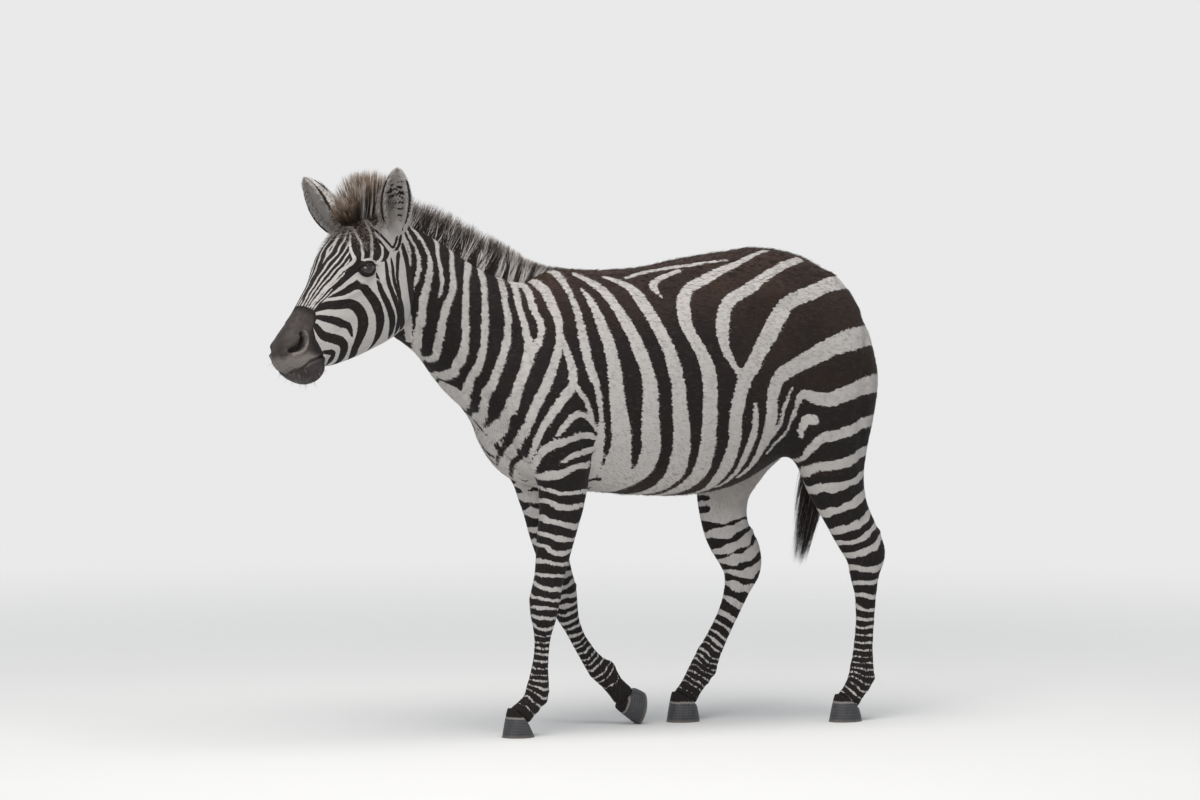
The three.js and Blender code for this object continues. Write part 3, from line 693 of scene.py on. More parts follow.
def ripple(points, length, seed):
    """A gentle wave from -1 to 1: the mean of five sines that run in random directions at about that
    length."""
    random = np.random.default_rng(seed)
    total = np.zeros(len(points))
    for _ in range(5):
        way = unit(random.normal(size=3)) * 2 * np.pi / (length * random.uniform(0.6, 1.5))
        total += np.sin(points @ way + random.uniform(0, 2 * np.pi))
    return total / 2.5


def ease(values, low, high):
    """A smooth step from 0 at low to 1 at high."""
    t = np.clip((values - low) / (high - low), 0, 1)
    return t * t * (3 - 2 * t)


def leg_chart(points, rows):
    """The nearest place on a leg's line: station number, metres below its top, metres towards the front,
    metres to the right, and the distance from the line as a share of the leg's half width there."""
    u = even(rows, 0.125)
    values, direction, side, above = ring_frames(rows, u, ACROSS_BODY)
    centres = values[:, :3]
    size = values[:, 3:6].mean(1)
    length = np.concatenate([[0], np.cumsum(np.linalg.norm(np.diff(centres, axis=0), axis=1))])
    best = np.full(len(points), np.inf)
    nearest = np.zeros(len(points), int)
    for k, centre in enumerate(centres):
        gap = np.sum((points - centre) ** 2, 1)
        closer = gap < best
        best[closer] = gap[closer]
        nearest[closer] = k
    offset = points - centres[nearest]
    down = length[nearest] + np.sum(offset * direction[nearest], 1)
    front = np.sum(offset * above[nearest], 1)
    aside = np.sum(offset * side[nearest], 1)
    return u[nearest], down, front, aside, np.sqrt(best) / size[nearest]


# ---- Regions and markings --------------------------------------------------------------------------------


class Regions:
    """Where each point of the skin is: on the head, an ear, a leg or the trunk, with its charts."""

    def __init__(self, points):
        self.points = points
        self.side = side_chart(points)
        self.face = face_chart(points)
        self.right = body_aside(points) > 0
        along, self.face_aside, above = face_axes(points).T
        # The head ends at a slanting line from the poll to the throat.
        boundary = -0.06 + (-0.12 - above) * 0.92
        near_face = (np.abs(self.face_aside) < 0.13) & (above > -0.34) & (above < 0.05)
        self.head = near_face & (along > np.maximum(boundary, -0.1)) & (points[:, 0] < -0.42)
        self.legs = {name: leg_chart(points, rows) for name, rows in LEG_ROWS.items()}
        self.ear = np.full(len(points), -1.0)
        self.ear_inside = np.zeros(len(points))
        self.ear_edge = np.zeros(len(points))
        for name in EARS:
            self.find_ear(name)

    def find_ear(self, name):
        """Marks the ear's points with their share of its length, and with how near its open edge they are."""
        root, up, front, across = ear_axes(name)
        offset = self.points - root
        t = (offset @ up) / EAR_LENGTH
        radius = ear_radius(t)
        sideways, forward = offset @ across, offset @ front
        from_line = np.hypot(sideways, forward - ear_bow(t))
        found = (t > 0.0) & (t < 1.15) & (from_line < radius + 0.007)
        self.ear[found] = t[found]
        swing = np.abs(np.arctan2(sideways, -forward)) / ear_half(t)
        self.ear_edge[found] = np.where(from_line > 0.7 * radius, np.clip(swing, 0, 1.1), 0.5)[found]
        self.ear_inside[found] = ease(radius - from_line, 0.002, 0.005)[found]


# Where the middles of the white rings are: millimetres down each leg's line from its first station.
FORELEG_RINGS = (338, 374, 409, 455, 496, 526, 557, 592, 620, 648, 674, 697, 719, 740, 760, 778, 795, 811,
                 827, 843, 859, 876, 894, 914, 940)
HINDFOOT_RINGS = (917, 939, 959, 978, 995, 1010, 1025, 1040, 1055, 1071, 1088, 1108)
RING_PLACES = {
    "foreleg_left": FORELEG_RINGS,
    "foreleg_right": FORELEG_RINGS,
    "hindleg_left": (525, 584, 640, 675, 713, 765, 803, 838, 868, 894) + HINDFOOT_RINGS,
    "hindleg_right": (565, 588, 615, 652, 690, 727, 765, 805, 847, 886) + HINDFOOT_RINGS,
}
# The white share of a ring by how far down the leg it is: on the outer side, and how much more inside.
RING_WHITES = {
    "foreleg": (([0.0, 0.3, 0.7, 0.88, 1.0], [0.33, 0.31, 0.3, 0.24, 0.17]),
                ([0.0, 0.5, 0.75], [0.18, 0.15, 0.0])),
    "hindleg": (([0.0, 0.15, 0.3, 0.5, 0.8, 1.0], [0.4, 0.42, 0.4, 0.32, 0.25, 0.17]),
                ([0.0, 0.5, 0.75], [0.26, 0.24, 0.0])),
}
# Where the rings begin, in metres down the leg.
LEG_STARTS = {"foreleg_left": 0.356, "foreleg_right": 0.356, "hindleg_left": 0.497, "hindleg_right": 0.53}


def ring_level(down, front):
    """Metres down the leg, bent so that one level is one ring: rings sag across the leg's side."""
    return down + 3.0 * np.clip(front, -0.05, 0.05) ** 2


def leg_rings(name, level, seed, points, inner):
    """Distance to the edge of the nearest white ring. Rings waver a little, and their whites are widest on
    the upper leg and on its inner side, and thinnest on the pastern."""
    places = np.array(RING_PLACES[name]) / 1000
    level = level + 0.0035 * ripple(points, 0.07, seed) + 0.0016 * ripple(points, 0.025, seed + 9)
    first = 2 * places[0] - places[1]
    last = len(places) - 0.5
    number = np.interp(level, [first, *places], np.arange(-1, len(places)), left=-0.5, right=last)
    number = np.where(level < places[0], np.maximum(number, -0.5), number)
    step = np.interp(level, places, np.gradient(places))
    depth = (level - places[0]) / (places[-1] - places[0])
    outer_share, more_inside = RING_WHITES[name.split("_")[0]]
    white = np.interp(depth, *outer_share) + inner * np.interp(depth, *more_inside)
    white = white * (1 + 0.25 * ripple(points, 0.05, seed + 5))
    gap = np.abs(number - np.round(number)) * step
    return gap - white * step * 0.5


def flank_field(regions):
    """Distance from the white strokes of the side, from the dark line of the spine and from that of the
    belly. The right side has the same strokes, shifted by slow waves, and further forwards over its hind
    leg."""
    chart = regions.side.copy()
    points = regions.points
    x, z = points[:, 0], points[:, 2]
    chart[:, 0] += np.where(regions.right, 0.012 * ripple(points, 0.5, 3), 0.0)
    chart[:, 0] += 0.0015 * ripple(points, 0.04, 4)
    chart[:, 1] += np.where(regions.right, 0.015 * ripple(points, 0.4, 5), 0.0)
    ahead = np.interp(z, [0.6, 0.69, 0.78, 0.9, 1.01, 1.1], [0.22, 0.166, 0.11, 0.075, 0.03, 0.0])
    chart[:, 0] += np.where(regions.right, ahead * ease(x, 0.36, 0.52), 0.0)
    field = strokes_distance(chart, FLANK_STROKES) + np.interp(x, [-0.05, 0.1], [0.0013, 0.0006])
    aside = np.abs(body_aside(points))
    middle = np.interp(x, SIDE_X, SIDE_MIDDLE)
    spine = 0.009 - aside + 0.002 * ripple(points, 0.08, 6)
    spine = np.where((x > 0.03) & (z > middle), spine, -FAR)
    belly = 0.012 - aside + 0.003 * ripple(points, 0.07, 7)
    belly = np.where((x > -0.1) & (x < 0.55) & (z < middle - 0.1), belly, -FAR)
    return np.maximum.reduce([field, spine, belly])


def chest_field(points):
    """Distance into the dark strokes of the chest, on its front only."""
    ahead = np.stack([np.abs(body_aside(points)), points[:, 2]], 1)
    dark = np.minimum(strokes_distance(ahead, CHEST_STROKES), strokes_distance(points[:, 1:], BREAST_STROKES))
    return np.where(points[:, 0] < -0.115, -dark, -FAR)


# By metres along the face: the step between the thin lines of the bridge, their white share, the lowest
# height up the side that they reach, and the height where the dark brow meets the pale cheek.
LINE_STEP = ([0.0, 0.05, 0.15, 0.2, 0.27], [0.0115, 0.0125, 0.0125, 0.0095, 0.0062])
LINE_WHITE = ([0.0, 0.1, 0.2, 0.27], [0.2, 0.3, 0.42, 0.46])
LINE_FLOOR = ([-0.02, 0.03, 0.07, 0.1, 0.15, 0.2, 0.27], [0.035, 0.024, 0.018, 0.0, -0.02, -0.022, -0.03])
CHEEK_TOP = ([-0.1, -0.03, 0.03, 0.08, 0.12, 0.16, 0.2, 0.27],
             [-0.11, -0.11, -0.106, -0.07, -0.043, -0.03, -0.024, -0.02])


def face_field(regions):
    """Thin lines fan from the muzzle up the bridge: their number is the height up the side over a step that
    grows towards the brow. Above the eye white strokes lie on dark, and on the cheek dark strokes lie on
    white. Round each eye is a dark ring, drawn out at its inner corner, under a white arc."""
    along, height = regions.face.T
    step = np.interp(along, *LINE_STEP)
    number = (height + 0.003) / step + 0.12 * ripple(regions.points, 0.05, 11)
    lines = (np.abs(number - np.round(number)) - np.interp(along, *LINE_WHITE) / 2) * step
    lines = np.where((height > np.interp(along, *LINE_FLOOR)) & (along >= -0.01), lines, FAR)
    top = np.minimum(strokes_distance(regions.face, BROW_STROKES), lines)
    low = 0.0014 - strokes_distance(regions.face, [pointed(stroke) for stroke in CHEEK_STROKES])
    upper = ease(height - np.interp(along, *CHEEK_TOP), -0.004, 0.004)
    field = np.clip(low, -0.008, 0.008) * (1 - upper) + np.clip(top, -0.008, 0.008) * upper
    for sign in (-1, 1):
        centre, look, long_way, short_way = eye_axes(sign)
        offset = regions.points - centre
        across, up = offset @ long_way, offset @ short_way
        outside = offset @ look > 0
        ring = 0.0205 - np.hypot(across * 0.8, up + 0.001)
        corner = 0.0045 - np.hypot(np.maximum(np.abs(across - 0.026) - 0.011, 0), up + 0.001)
        field = np.maximum(field, np.where(outside, np.maximum(ring, corner), -FAR))
        arc = np.abs(np.hypot(across * 0.8, up) - 0.0232) - 0.002
        field = np.minimum(field, np.where(outside & (up > -0.002) & (across < 0.01), arc, FAR))
    return field


def ear_field(regions):
    """Behind: a dark band near the root, white, a dark band near the tip. Inside: pale, with blotches of
    painted shadow between the locks of hair in the left ear only. A thin dark line runs round the open edge,
    and the tip is white."""
    t = regions.ear
    bands = np.maximum(0.1 - np.abs(t - 0.22), 0.12 - np.abs(t - 0.74)) * EAR_LENGTH
    behind = np.where(regions.ear_edge < 0.72, bands, -0.01)
    # Painted shadow: dark blotches inside the left ear stand in for the shade between its locks of hair.
    blotch = 0.0045 * ripple(regions.points, 0.026, 21) + 0.004 * ripple(regions.points, 0.011, 22)
    blotch = blotch - 0.0018 - 0.008 * np.abs(t - 0.55) - 0.004 * ease(regions.ear_edge, 0.6, 0.85)
    inside = np.where(regions.right, -0.01, blotch)
    rim = np.where((t > 0.16) & (t < 0.93), (regions.ear_edge - 0.95) * 0.05, -0.01)
    return np.maximum(np.where(regions.ear_inside > 0.5, inside, behind), rim)


def muzzle_looks(regions):
    """How far each point is past the muzzle's edge, how bare its skin is, and how pale: the lips and the
    nostrils' rims are pale, with a painted highlight round the tip of the nose, the nostrils' hollows are
    painted black as shade, and the mouth's corners are dark."""
    along, height = regions.face.T
    past_edge = along - np.interp(height, *MUZZLE_EDGE)
    bare = np.where(regions.head, ease(past_edge, 0.002, 0.026), 0.0)
    # Painted shade: inside the nostril's hollow the bare skin gives way to black, the shade deep in the
    # nostril.
    bare = bare * (1 - ease(-path_distance(regions.face, smoothed(NOSTRIL), 0.05), -0.001, 0.002))
    bare = bare * (1 - 0.9 * bump_of(path_distance(regions.face, MOUTH_CORNER, 0.05), 0.03))
    lip = 1.3 * bump_of(path_distance(regions.face, LIP, 0.05), 0.031)
    # Painted highlight: a pale spot round the tip of the nose, over the lip's own pale grey.
    lip = lip + 0.9 * bump_of(gap_to(regions.points, NOSE_TIP), 0.022)
    lip = lip + 0.9 * bump_of(path_distance(regions.face, NOSTRIL_RIM, 0.009), 0.008)
    chin = ease(along, 0.3, 0.34) * ease(-path_side(regions.face, MOUTH), 0.0, 0.006)
    return past_edge, bare, regions.head * np.clip(lip, 0, 1) * (1 - chin)


def dark_hair_tan(regions, limb):
    """How brown the dark hair is: on the back, the rump, the brow and the belly."""
    along, height = regions.face.T
    x, z = regions.points[:, 0], regions.points[:, 2]
    back = ease(z, 0.98, 1.17) * ease(x, -0.2, -0.05)
    rump = 0.5 * ease(x, 0.3, 0.5) * ease(z, 0.75, 0.95)
    brow = 0.75 * regions.head * ease(-along, -0.09, -0.01) * ease(height, -0.06, 0.0)
    belly = 0.6 * ease(-z, -0.72, -0.6) * (limb < 0.5) * (x > 0.0) * (x < 0.7)
    return np.clip(np.maximum.reduce([back, rump, brow, belly]), 0, 1)


def markings(points):
    """All that the coat's looks need at each point, with the point's regions: the distance into the dark
    (centimetres, below zero in white), the brown of the dark hair, the bareness of the muzzle, how much
    sheltered white hair is greyed by painted shade, the paleness of bare skin with a painted highlight at the
    nose, whether it is a leg, and how far stripes fray."""
    regions = Regions(points)
    field = flank_field(regions)
    x, z = points[:, 0], points[:, 2]
    # pale is painted shade: how far white hair turns grey on the legs' inner sides, the inner thighs and
    # inside the ears.
    pale = np.zeros(len(points))
    limb = np.zeros(len(points))
    for number, (name, (u, down, front, aside, share)) in enumerate(regions.legs.items()):
        kind, side = name.split("_")
        inner = aside * (1 if side == "left" else -1)
        same_side = regions.right == (side == "right")
        level = ring_level(down, front)
        on_leg = (share < 1.75) & (same_side | (u > 6)) & (level > LEG_STARTS[name]) & (z < 0.68)
        inward = ease(inner, 0.0, 0.03)
        rings = leg_rings(name, level, 30 + 7 * number, points, inward)
        if kind == "hindleg":
            fade = (1 - ease(u, 5.7, 6.3)) * (1 - ease(front, 0.025, 0.055))
        else:
            fade = 0.4 * (1 - ease(u, 3.5, 5.5))
        rings = rings - inward * fade * (0.02 + 0.006 * ripple(points, 0.05, 55 + number))
        field = np.where(on_leg, rings, field)
        # Painted shade on the leg's inner side.
        pale = np.where(on_leg, 0.6 * inward * fade, pale)
        limb = np.where(on_leg, 1.0, limb)
        inner_top = same_side & (share < 1.5) & (inner > 0.02) & ~on_leg & (u > 2.0) & (z < 0.75)
        field = np.where(inner_top, -0.01, field)
        # Painted shade on the inner thigh, between the leg and the body.
        pale = np.where(inner_top, 0.8 * ease(inner, 0.02, 0.06), pale)
    field = np.maximum(field, chest_field(points))
    tail = (x > 0.79) & (np.abs(points[:, 1] - 0.04) < 0.06) & (z > 0.7) & (z < 1.1)
    near_dock = path_distance(points, smooth_rows(DOCK_ROWS, np.linspace(1.2, 5, 40))[:, :3]) < 0.028
    dock_bars = 0.006 - np.abs((z / DOCK_BAR) % 1 - 0.5) * DOCK_BAR * 0.8 + 0.002 * ripple(points, 0.03, 61)
    field = np.where(tail & near_dock, dock_bars, field)
    field = np.where(regions.head, face_field(regions), field)
    below_ear = 0.0008 - strokes_distance(regions.face, [pointed(stroke) for stroke in EAR_ROOT_STROKES])
    for name in EARS:
        root, _, front, _ = ear_axes(name)
        field = np.where(gap_to(points - root, front * 0.024) < 0.05, below_ear, field)
    field = np.where(regions.ear > 0, ear_field(regions), field)
    # Painted shade inside the ear's hollow.
    pale = np.where(regions.ear > 0, 0.85 * regions.ear_inside, pale)
    past_edge, bare, lip = muzzle_looks(regions)
    field = np.where(regions.head, np.maximum(field, np.clip(1.5 * past_edge, -0.03, 0.02)), field)
    return {
        "marking": np.clip(field, -0.03, 0.03) * 100,
        "tan": dark_hair_tan(regions, limb),
        "bare": bare,
        "pale": np.clip(pale, 0, 1),
        "lip": lip,
        "limb": limb,
        "frayed": 1 - np.maximum(0.72 * regions.head, 0.5 * limb),
    }, regions


# ---- Skin ------------------------------------------------------------------------------------------------

HEAD_MIDDLE = head_point(140, 0, -90)
HEAD_REACH = 0.36
HEAD_ZOOM = 2.4
BODY_ZOOM = 0.75


def magnified(points):
    """Points moved straight away from the head's middle: a length up to the head's reach is multiplied by
    the head's zoom, and what is beyond it by the body's. Faces made here are finer on the head once they go
    back."""
    offset = points - HEAD_MIDDLE
    length = np.linalg.norm(offset, axis=1, keepdims=True)
    longer = np.minimum(length, HEAD_REACH) * HEAD_ZOOM + np.maximum(length - HEAD_REACH, 0) * BODY_ZOOM
    return HEAD_MIDDLE + offset * longer / np.maximum(length, 1e-9)


def restored(points):
    """The opposite of magnified."""
    offset = points - HEAD_MIDDLE
    length = np.linalg.norm(offset, axis=1, keepdims=True)
    edge = HEAD_REACH * HEAD_ZOOM
    shorter = np.minimum(length, edge) / HEAD_ZOOM + np.maximum(length - edge, 0) / BODY_ZOOM
    return HEAD_MIDDLE + offset * shorter / np.maximum(length, 1e-9)


def new_object(name, data):
    """A new object in the scene that holds the mesh, lamp or camera."""
    obj = bpy.data.objects.new(name, data)
    bpy.context.scene.collection.objects.link(obj)
    return obj


def mesh_from(name, points, faces):
    """A mesh from points and faces."""
    mesh = bpy.data.meshes.new(name)
    mesh.from_pydata(np.asarray(points).tolist(), [], faces)
    mesh.update()
    return mesh


def smooth_shaded(mesh):
    """The mesh, shaded smooth."""
    mesh.polygons.foreach_set("use_smooth", np.ones(len(mesh.polygons), bool))
    return mesh


def facing_outwards(mesh):
    """The mesh with its faces turned to look outwards."""
    bm = bmesh.new()
    bm.from_mesh(mesh)
    bmesh.ops.recalc_face_normals(bm, faces=bm.faces)
    bm.to_mesh(mesh)
    bm.free()
    return mesh


def body_lofts(depth):
    """Every part of the flesh as a closed loft, each running a little into its neighbour. A loft has its
    rows, the step between its rings, its sides, its axes and its share of the coat's depth."""
    lofts = [
        (TRUNK_ROWS, 0.125, 96, ACROSS_BODY, np.array([-1.0, 0, 0]), 1.0),
        (NECK_ROWS, 0.08, 72, ACROSS_BODY, None, 1.0),
        (HEAD_ROWS, 0.125, 96, HEAD_RIGHT, HEAD_ALONG, 0.5),
        (DOCK_ROWS, 0.1, 24, ACROSS_BODY, None, 1.0),
        *[(rows, 0.1, 48, ACROSS_BODY, None, 0.4) for rows in LEG_ROWS.values()],
    ]
    parts = [rings_mesh(loft_rings(rows, even(rows, step), sides, across, along, depth * 0.001 * share))
             for rows, step, sides, across, along, share in lofts]
    parts += [ear_mesh(side) for side in EARS]
    points, faces = [], []
    for part_points, part_faces in parts:
        start = sum(len(p) for p in points)
        points.append(part_points)
        faces += [[index + start for index in face] for face in part_faces]
    return np.concatenate(points), faces


def wrapped_skin(depth, voxel):
    """One closed skin round all the lofts, from a voxel remesh of them with the head magnified."""
    points, faces = body_lofts(depth)
    rough = new_object("rough", mesh_from("rough", magnified(points), faces))
    remesh = rough.modifiers.new("wrap", "REMESH")
    remesh.mode = "VOXEL"
    remesh.voxel_size = voxel
    evaluated = rough.evaluated_get(bpy.context.evaluated_depsgraph_get())
    mesh = bpy.data.meshes.new_from_object(evaluated)
    bpy.data.objects.remove(rough)
    write_points(mesh, restored(read_points(mesh)))
    return mesh


def read_array(items, key, kind, columns=3):
    """One property of all a mesh's items as an array with a few columns."""
    flat = np.empty(len(items) * columns, kind)
    items.foreach_get(key, flat)
    return flat.reshape(-1, columns)


def read_points(mesh):
    """The mesh's points as an array."""
    return read_array(mesh.vertices, "co", np.float32).astype(float)


def read_normals(mesh):
    """The mesh's normals at its points as an array."""
    return read_array(mesh.vertex_normals, "vector", np.float32).astype(float)


def read_edges(mesh):
    """The mesh's edges as pairs of point numbers."""
    return read_array(mesh.edges, "vertices", np.int32, 2)


def write_points(mesh, points):
    """Puts an array of points into the mesh."""
    mesh.vertices.foreach_set("co", np.asarray(points, np.float32).ravel())
    mesh.update()


def refine(mesh, chosen):
    """Splits the faces whose middles are chosen, each edge in two."""
    bm = bmesh.new()
    bm.from_mesh(mesh)
    wanted = chosen(np.array([face.calc_center_median() for face in bm.faces]))
    edges = {edge for face, want in zip(bm.faces, wanted) if want for edge in face.edges}
    bmesh.ops.subdivide_edges(bm, edges=list(edges), cuts=1, use_grid_fill=True)
    bm.to_mesh(mesh)
    bm.free()
    mesh.update()


def relaxed(points, edges, weight, rounds):
    """Each round moves every point towards the mean of its neighbours, by its own weight."""
    first, second = edges.T
    count = np.maximum(np.bincount(edges.ravel(), minlength=len(points)), 1)[:, None]
    for _ in range(rounds):
        total = np.empty_like(points)
        for axis in range(3):
            value = points[:, axis]
            total[:, axis] = (np.bincount(first, value[second], len(points))
                              + np.bincount(second, value[first], len(points)))
        points = points + weight[:, None] * (total / count - points)
    return points


# Where parts of the body flow into each other: a place in millimetres, left and right, and its radius.
BLENDS = [
    ((-90, 105, 930), 190),
    ((-190, 70, 900), 150),
    ((-30, 110, 700), 95),
    ((680, 110, 1030), 170),
    ((650, 150, 830), 170),
    ((590, 150, 690), 130),
    ((790, 90, 960), 110),
    ((-210, 20, 1080), 150),
]


def blend_weights(points):
    """How much each point may relax: fully near the places where parts meet, not at all on the legs."""
    places = [((np.array([x, sign * y, z]) - BODY_CENTRE) * 0.001, 0.0004 * radius, 0.001 * radius, 1.0)
              for (x, y, z), radius in BLENDS for sign in (-1, 1)]
    places += [(head_point(60, 0, -275), 0.02, 0.085, 0.8), (head_point(-60, 0, -120), 0.02, 0.07, 0.8)]
    places += [(ear_axes(side)[0], 0.02, 0.045, 0.5) for side in EARS]
    weights = [most * (1 - ease(gap_to(points, place), full, reach)) for place, full, reach, most in places]
    return np.where(points[:, 2] < 0.58, 0.0, np.maximum.reduce(weights))


def bump_of(distance, radius):
    """A round bump: the square of one less the squared share of the radius, and nothing beyond it."""
    share = np.clip(distance / radius, 0, 1)
    return (1 - share**2) ** 2


# Muscles and bones of the side, in the side chart: path, radius and height in metres.
BODY_FORMS = [
    ([(-0.16, 1.08), (-0.11, 0.95)], 0.04, 0.004),
    ([(-0.21, 0.86), (-0.2, 0.82)], 0.07, 0.008),
    ([(-0.02, 0.88), (-0.05, 0.8)], 0.075, 0.007),
    ([(-0.155, 0.97), (-0.17, 0.86), (-0.185, 0.78)], 0.026, -0.005),
    ([(0.03, 0.8), (0.04, 0.72), (0.03, 0.68)], 0.026, -0.006),
    ([(0.5, 1.06), (0.5, 1.0)], 0.08, -0.008),
    ([(0.53, 1.15), (0.55, 1.13)], 0.05, 0.008),
    ([(0.5, 0.8), (0.56, 0.72), (0.6, 0.66)], 0.035, 0.006),
    ([(0.64, 0.74), (0.63, 0.7)], 0.07, 0.008),
    ([(0.8, 1.04), (0.775, 0.9), (0.765, 0.76), (0.78, 0.66)], 0.022, -0.004),
    ([(-0.42, 1.02), (-0.31, 0.93), (-0.23, 0.85)], 0.024, -0.006),
    ([(-0.4, 1.2), (-0.25, 1.1), (-0.15, 1.05)], 0.05, 0.004),
    ([(-0.46, 1.1), (-0.45, 1.02)], 0.03, -0.004),
    ([(0.15, 1.25), (0.45, 1.28)], 0.03, 0.003),
]

# Bones, hollows, lips and nostrils of the face, in the face chart.
FACE_FORMS = [
    ([(0.2, -0.06), (0.165, -0.075), (0.13, -0.092)], 0.016, 0.0035),
    ([(0.12, -0.2), (0.13, -0.17)], 0.06, 0.006),
    ([(0.23, -0.14), (0.25, -0.12)], 0.035, -0.004),
    ([(0.125, -0.022), (0.1, -0.022), (0.07, -0.034)], 0.016, 0.0045),
    ([(0.045, -0.03), (0.03, -0.05)], 0.024, -0.0045),
    ([(0.15, 0.012), (0.32, 0.006)], 0.012, 0.002),
    ([(0.392, -0.012), (0.374, -0.02), (0.36, -0.022)], 0.012, 0.004),
    (NOSTRIL_RIM, 0.011, 0.0048),
    ([(0.41, -0.055), (0.4, -0.07)], 0.03, 0.003),
    ([(0.385, -0.15), (0.365, -0.158)], 0.026, 0.006),
    ([(0.335, -0.15), (0.33, -0.18)], 0.02, -0.004),
    ([(0.325, -0.1), (0.333, -0.13)], 0.01, -0.002),
    ([(0.313, -0.095), (0.322, -0.13)], 0.008, 0.0015),
    (MOUTH, 0.0065, -0.0085),
    (NOSTRIL, 0.0065, -0.022),
]


# Joints and muscles of the legs: station, share of the half depth forwards, share of the half width sideways
# (both sides where it isn't 0), radius and height in metres.
LEG_FORMS = {
    "foreleg": [
        (4.6, 0.7, 0.7, 0.04, 0.003), (4.8, -0.6, 0.8, 0.04, 0.003), (4.9, 0.05, 1.0, 0.022, -0.003),
        (7.2, 0.9, 0, 0.014, -0.0015), (8.0, 0.9, 0, 0.022, 0.003), (8.0, 0.2, 0.95, 0.018, 0.0022),
        (7.9, -1.0, 0, 0.014, 0.006), (9.3, 0.9, 0, 0.016, -0.002), (12.9, -0.9, 0.5, 0.013, 0.003),
        (13.5, -1.0, 0, 0.026, 0.008), (14.2, -1.0, 0, 0.016, 0.004), (12.8, 0.9, 0, 0.02, 0.002),
        (14.0, 0.9, 0, 0.012, -0.0015),
    ],
    "hindleg": [
        (4.8, 0.3, 0.9, 0.04, 0.0035), (6.5, -0.4, 1.0, 0.02, -0.006), (7.3, -1.0, 0, 0.018, 0.005),
        (8.5, 0.5, 0.9, 0.016, 0.002), (9.0, 0.9, 0, 0.016, -0.0015), (12.9, -0.9, 0.5, 0.013, 0.003),
        (13.4, -1.0, 0, 0.026, 0.008), (14.1, -1.0, 0, 0.016, 0.004), (12.8, 0.9, 0, 0.02, 0.002),
        (14.0, 0.9, 0, 0.012, -0.0015),
    ],
}


def leg_push(points, name):
    """The height of a leg's forms at each point, each a round bump on the leg's surface."""
    push = np.zeros(len(points))
    for station, ahead, aside, radius, height in LEG_FORMS[name.split("_")[0]]:
        values, _, side, above = ring_frames(LEG_ROWS[name], np.array([station]), ACROSS_BODY)
        for sign in (-1, 1) if aside else (1,):
            depth = values[0, 4 if ahead > 0 else 5]
            place = values[0, :3] + above[0] * ahead * depth + side[0] * sign * aside * values[0, 3]
            push += height * bump_of(gap_to(points, place), radius)
    return push


def sculpted(points, normals):
    """Pushes the skin in or out along its normals: bumps along the paths of the body's and the face's forms
    and of faint ribs, and at the legs' joints, and on the cannons a groove between bone and tendon."""
    regions = Regions(points)
    push = np.zeros(len(points))
    body = ~regions.head & (regions.ear < 0)
    for path, radius, height in BODY_FORMS:
        push += body * 1.2 * height * bump_of(path_distance(regions.side, path, radius * 1.01), radius)
    for x in 0.11 + 0.05 * np.arange(8):
        rib = [(x + 0.03, 1.02), (x, 0.86), (x + 0.01, 0.72)]
        push += body * 0.0012 * bump_of(path_distance(regions.side, rib, 0.03), 0.02)
    face = regions.head & (regions.ear < 0)
    for path, radius, height in FACE_FORMS:
        push += face * height * bump_of(path_distance(regions.face, path, radius * 1.01), radius)
    for name, (u, _, front, _, share) in regions.legs.items():
        on_cannon = ease(u, 9.2, 10.0) * (1 - ease(u, 12.4, 13.0)) * (share < 1.8) * (points[:, 2] < 0.45)
        push += on_cannon * -0.0035 * bump_of(np.abs(front + 0.006), 0.008)
        push += leg_push(points, name) * (share < 2.0)
    return points + normals * push[:, None]


def eye_axes(sign):
    """The eye's middle, the way it looks, and the long and short axes of its opening."""
    centre = head_point(EYE_PLACE[0], sign * EYE_PLACE[1], EYE_PLACE[2])
    look = unit(HEAD_RIGHT * sign * 0.93 + HEAD_ALONG * 0.28 + HEAD_ABOVE * 0.12)
    long_way = HEAD_ALONG * 0.74 + HEAD_ABOVE * 0.62
    long_way = unit(long_way - look * (long_way @ look))
    short_way = np.cross(look, long_way)
    return centre, look, long_way, short_way * np.sign(short_way[2])


def lidded(points):
    """Lays the skin over each eyeball as lids: inside an almond opening it sinks behind the eyeball, and
    round it it lies a little over the eyeball, with a crease, then flows out to the face."""
    points = points.copy()
    for sign in (-1, 1):
        centre, look, long_way, short_way = eye_axes(sign)
        offset = points - centre
        reach = np.linalg.norm(offset, axis=1)
        near = np.nonzero((reach < 0.055) & (offset @ look > -0.002))[0]
        way = unit(offset[near])
        up = (way @ short_way) * EYE_RADIUS
        arch = 1 - ((way @ long_way) * EYE_RADIUS / LID_HALF) ** 2
        inside = np.minimum(UPPER_LID * arch - up, up + LOWER_LID * arch)
        sunk = EYE_RADIUS * (1 - 0.25 * ease(inside, 0.0, 0.002)) + 0.0008
        crease = 0.0016 * bump_of(np.abs(inside + 0.0075), 0.0025)
        lid = EYE_RADIUS + 0.0008 + 0.0026 * ease(-inside, 0.0, 0.0025) - crease
        outer = reach[near]
        flow = ease(-inside, 0.006, 0.018)
        covered = lid * (1 - flow) + np.maximum(outer, lid * 0.98) * flow
        length = np.where(inside > 0, sunk, covered)
        facing = ease(way @ look, 0.05, 0.3)
        length = outer * (1 - facing) + length * facing
        points[near] = centre + way * length[:, None]
    return points


def set_attribute(mesh, name, values):
    """Stores one value for each point of the mesh."""
    layer = mesh.attributes.new(name, "FLOAT", "POINT")
    layer.data.foreach_set("value", np.asarray(values, np.float32))


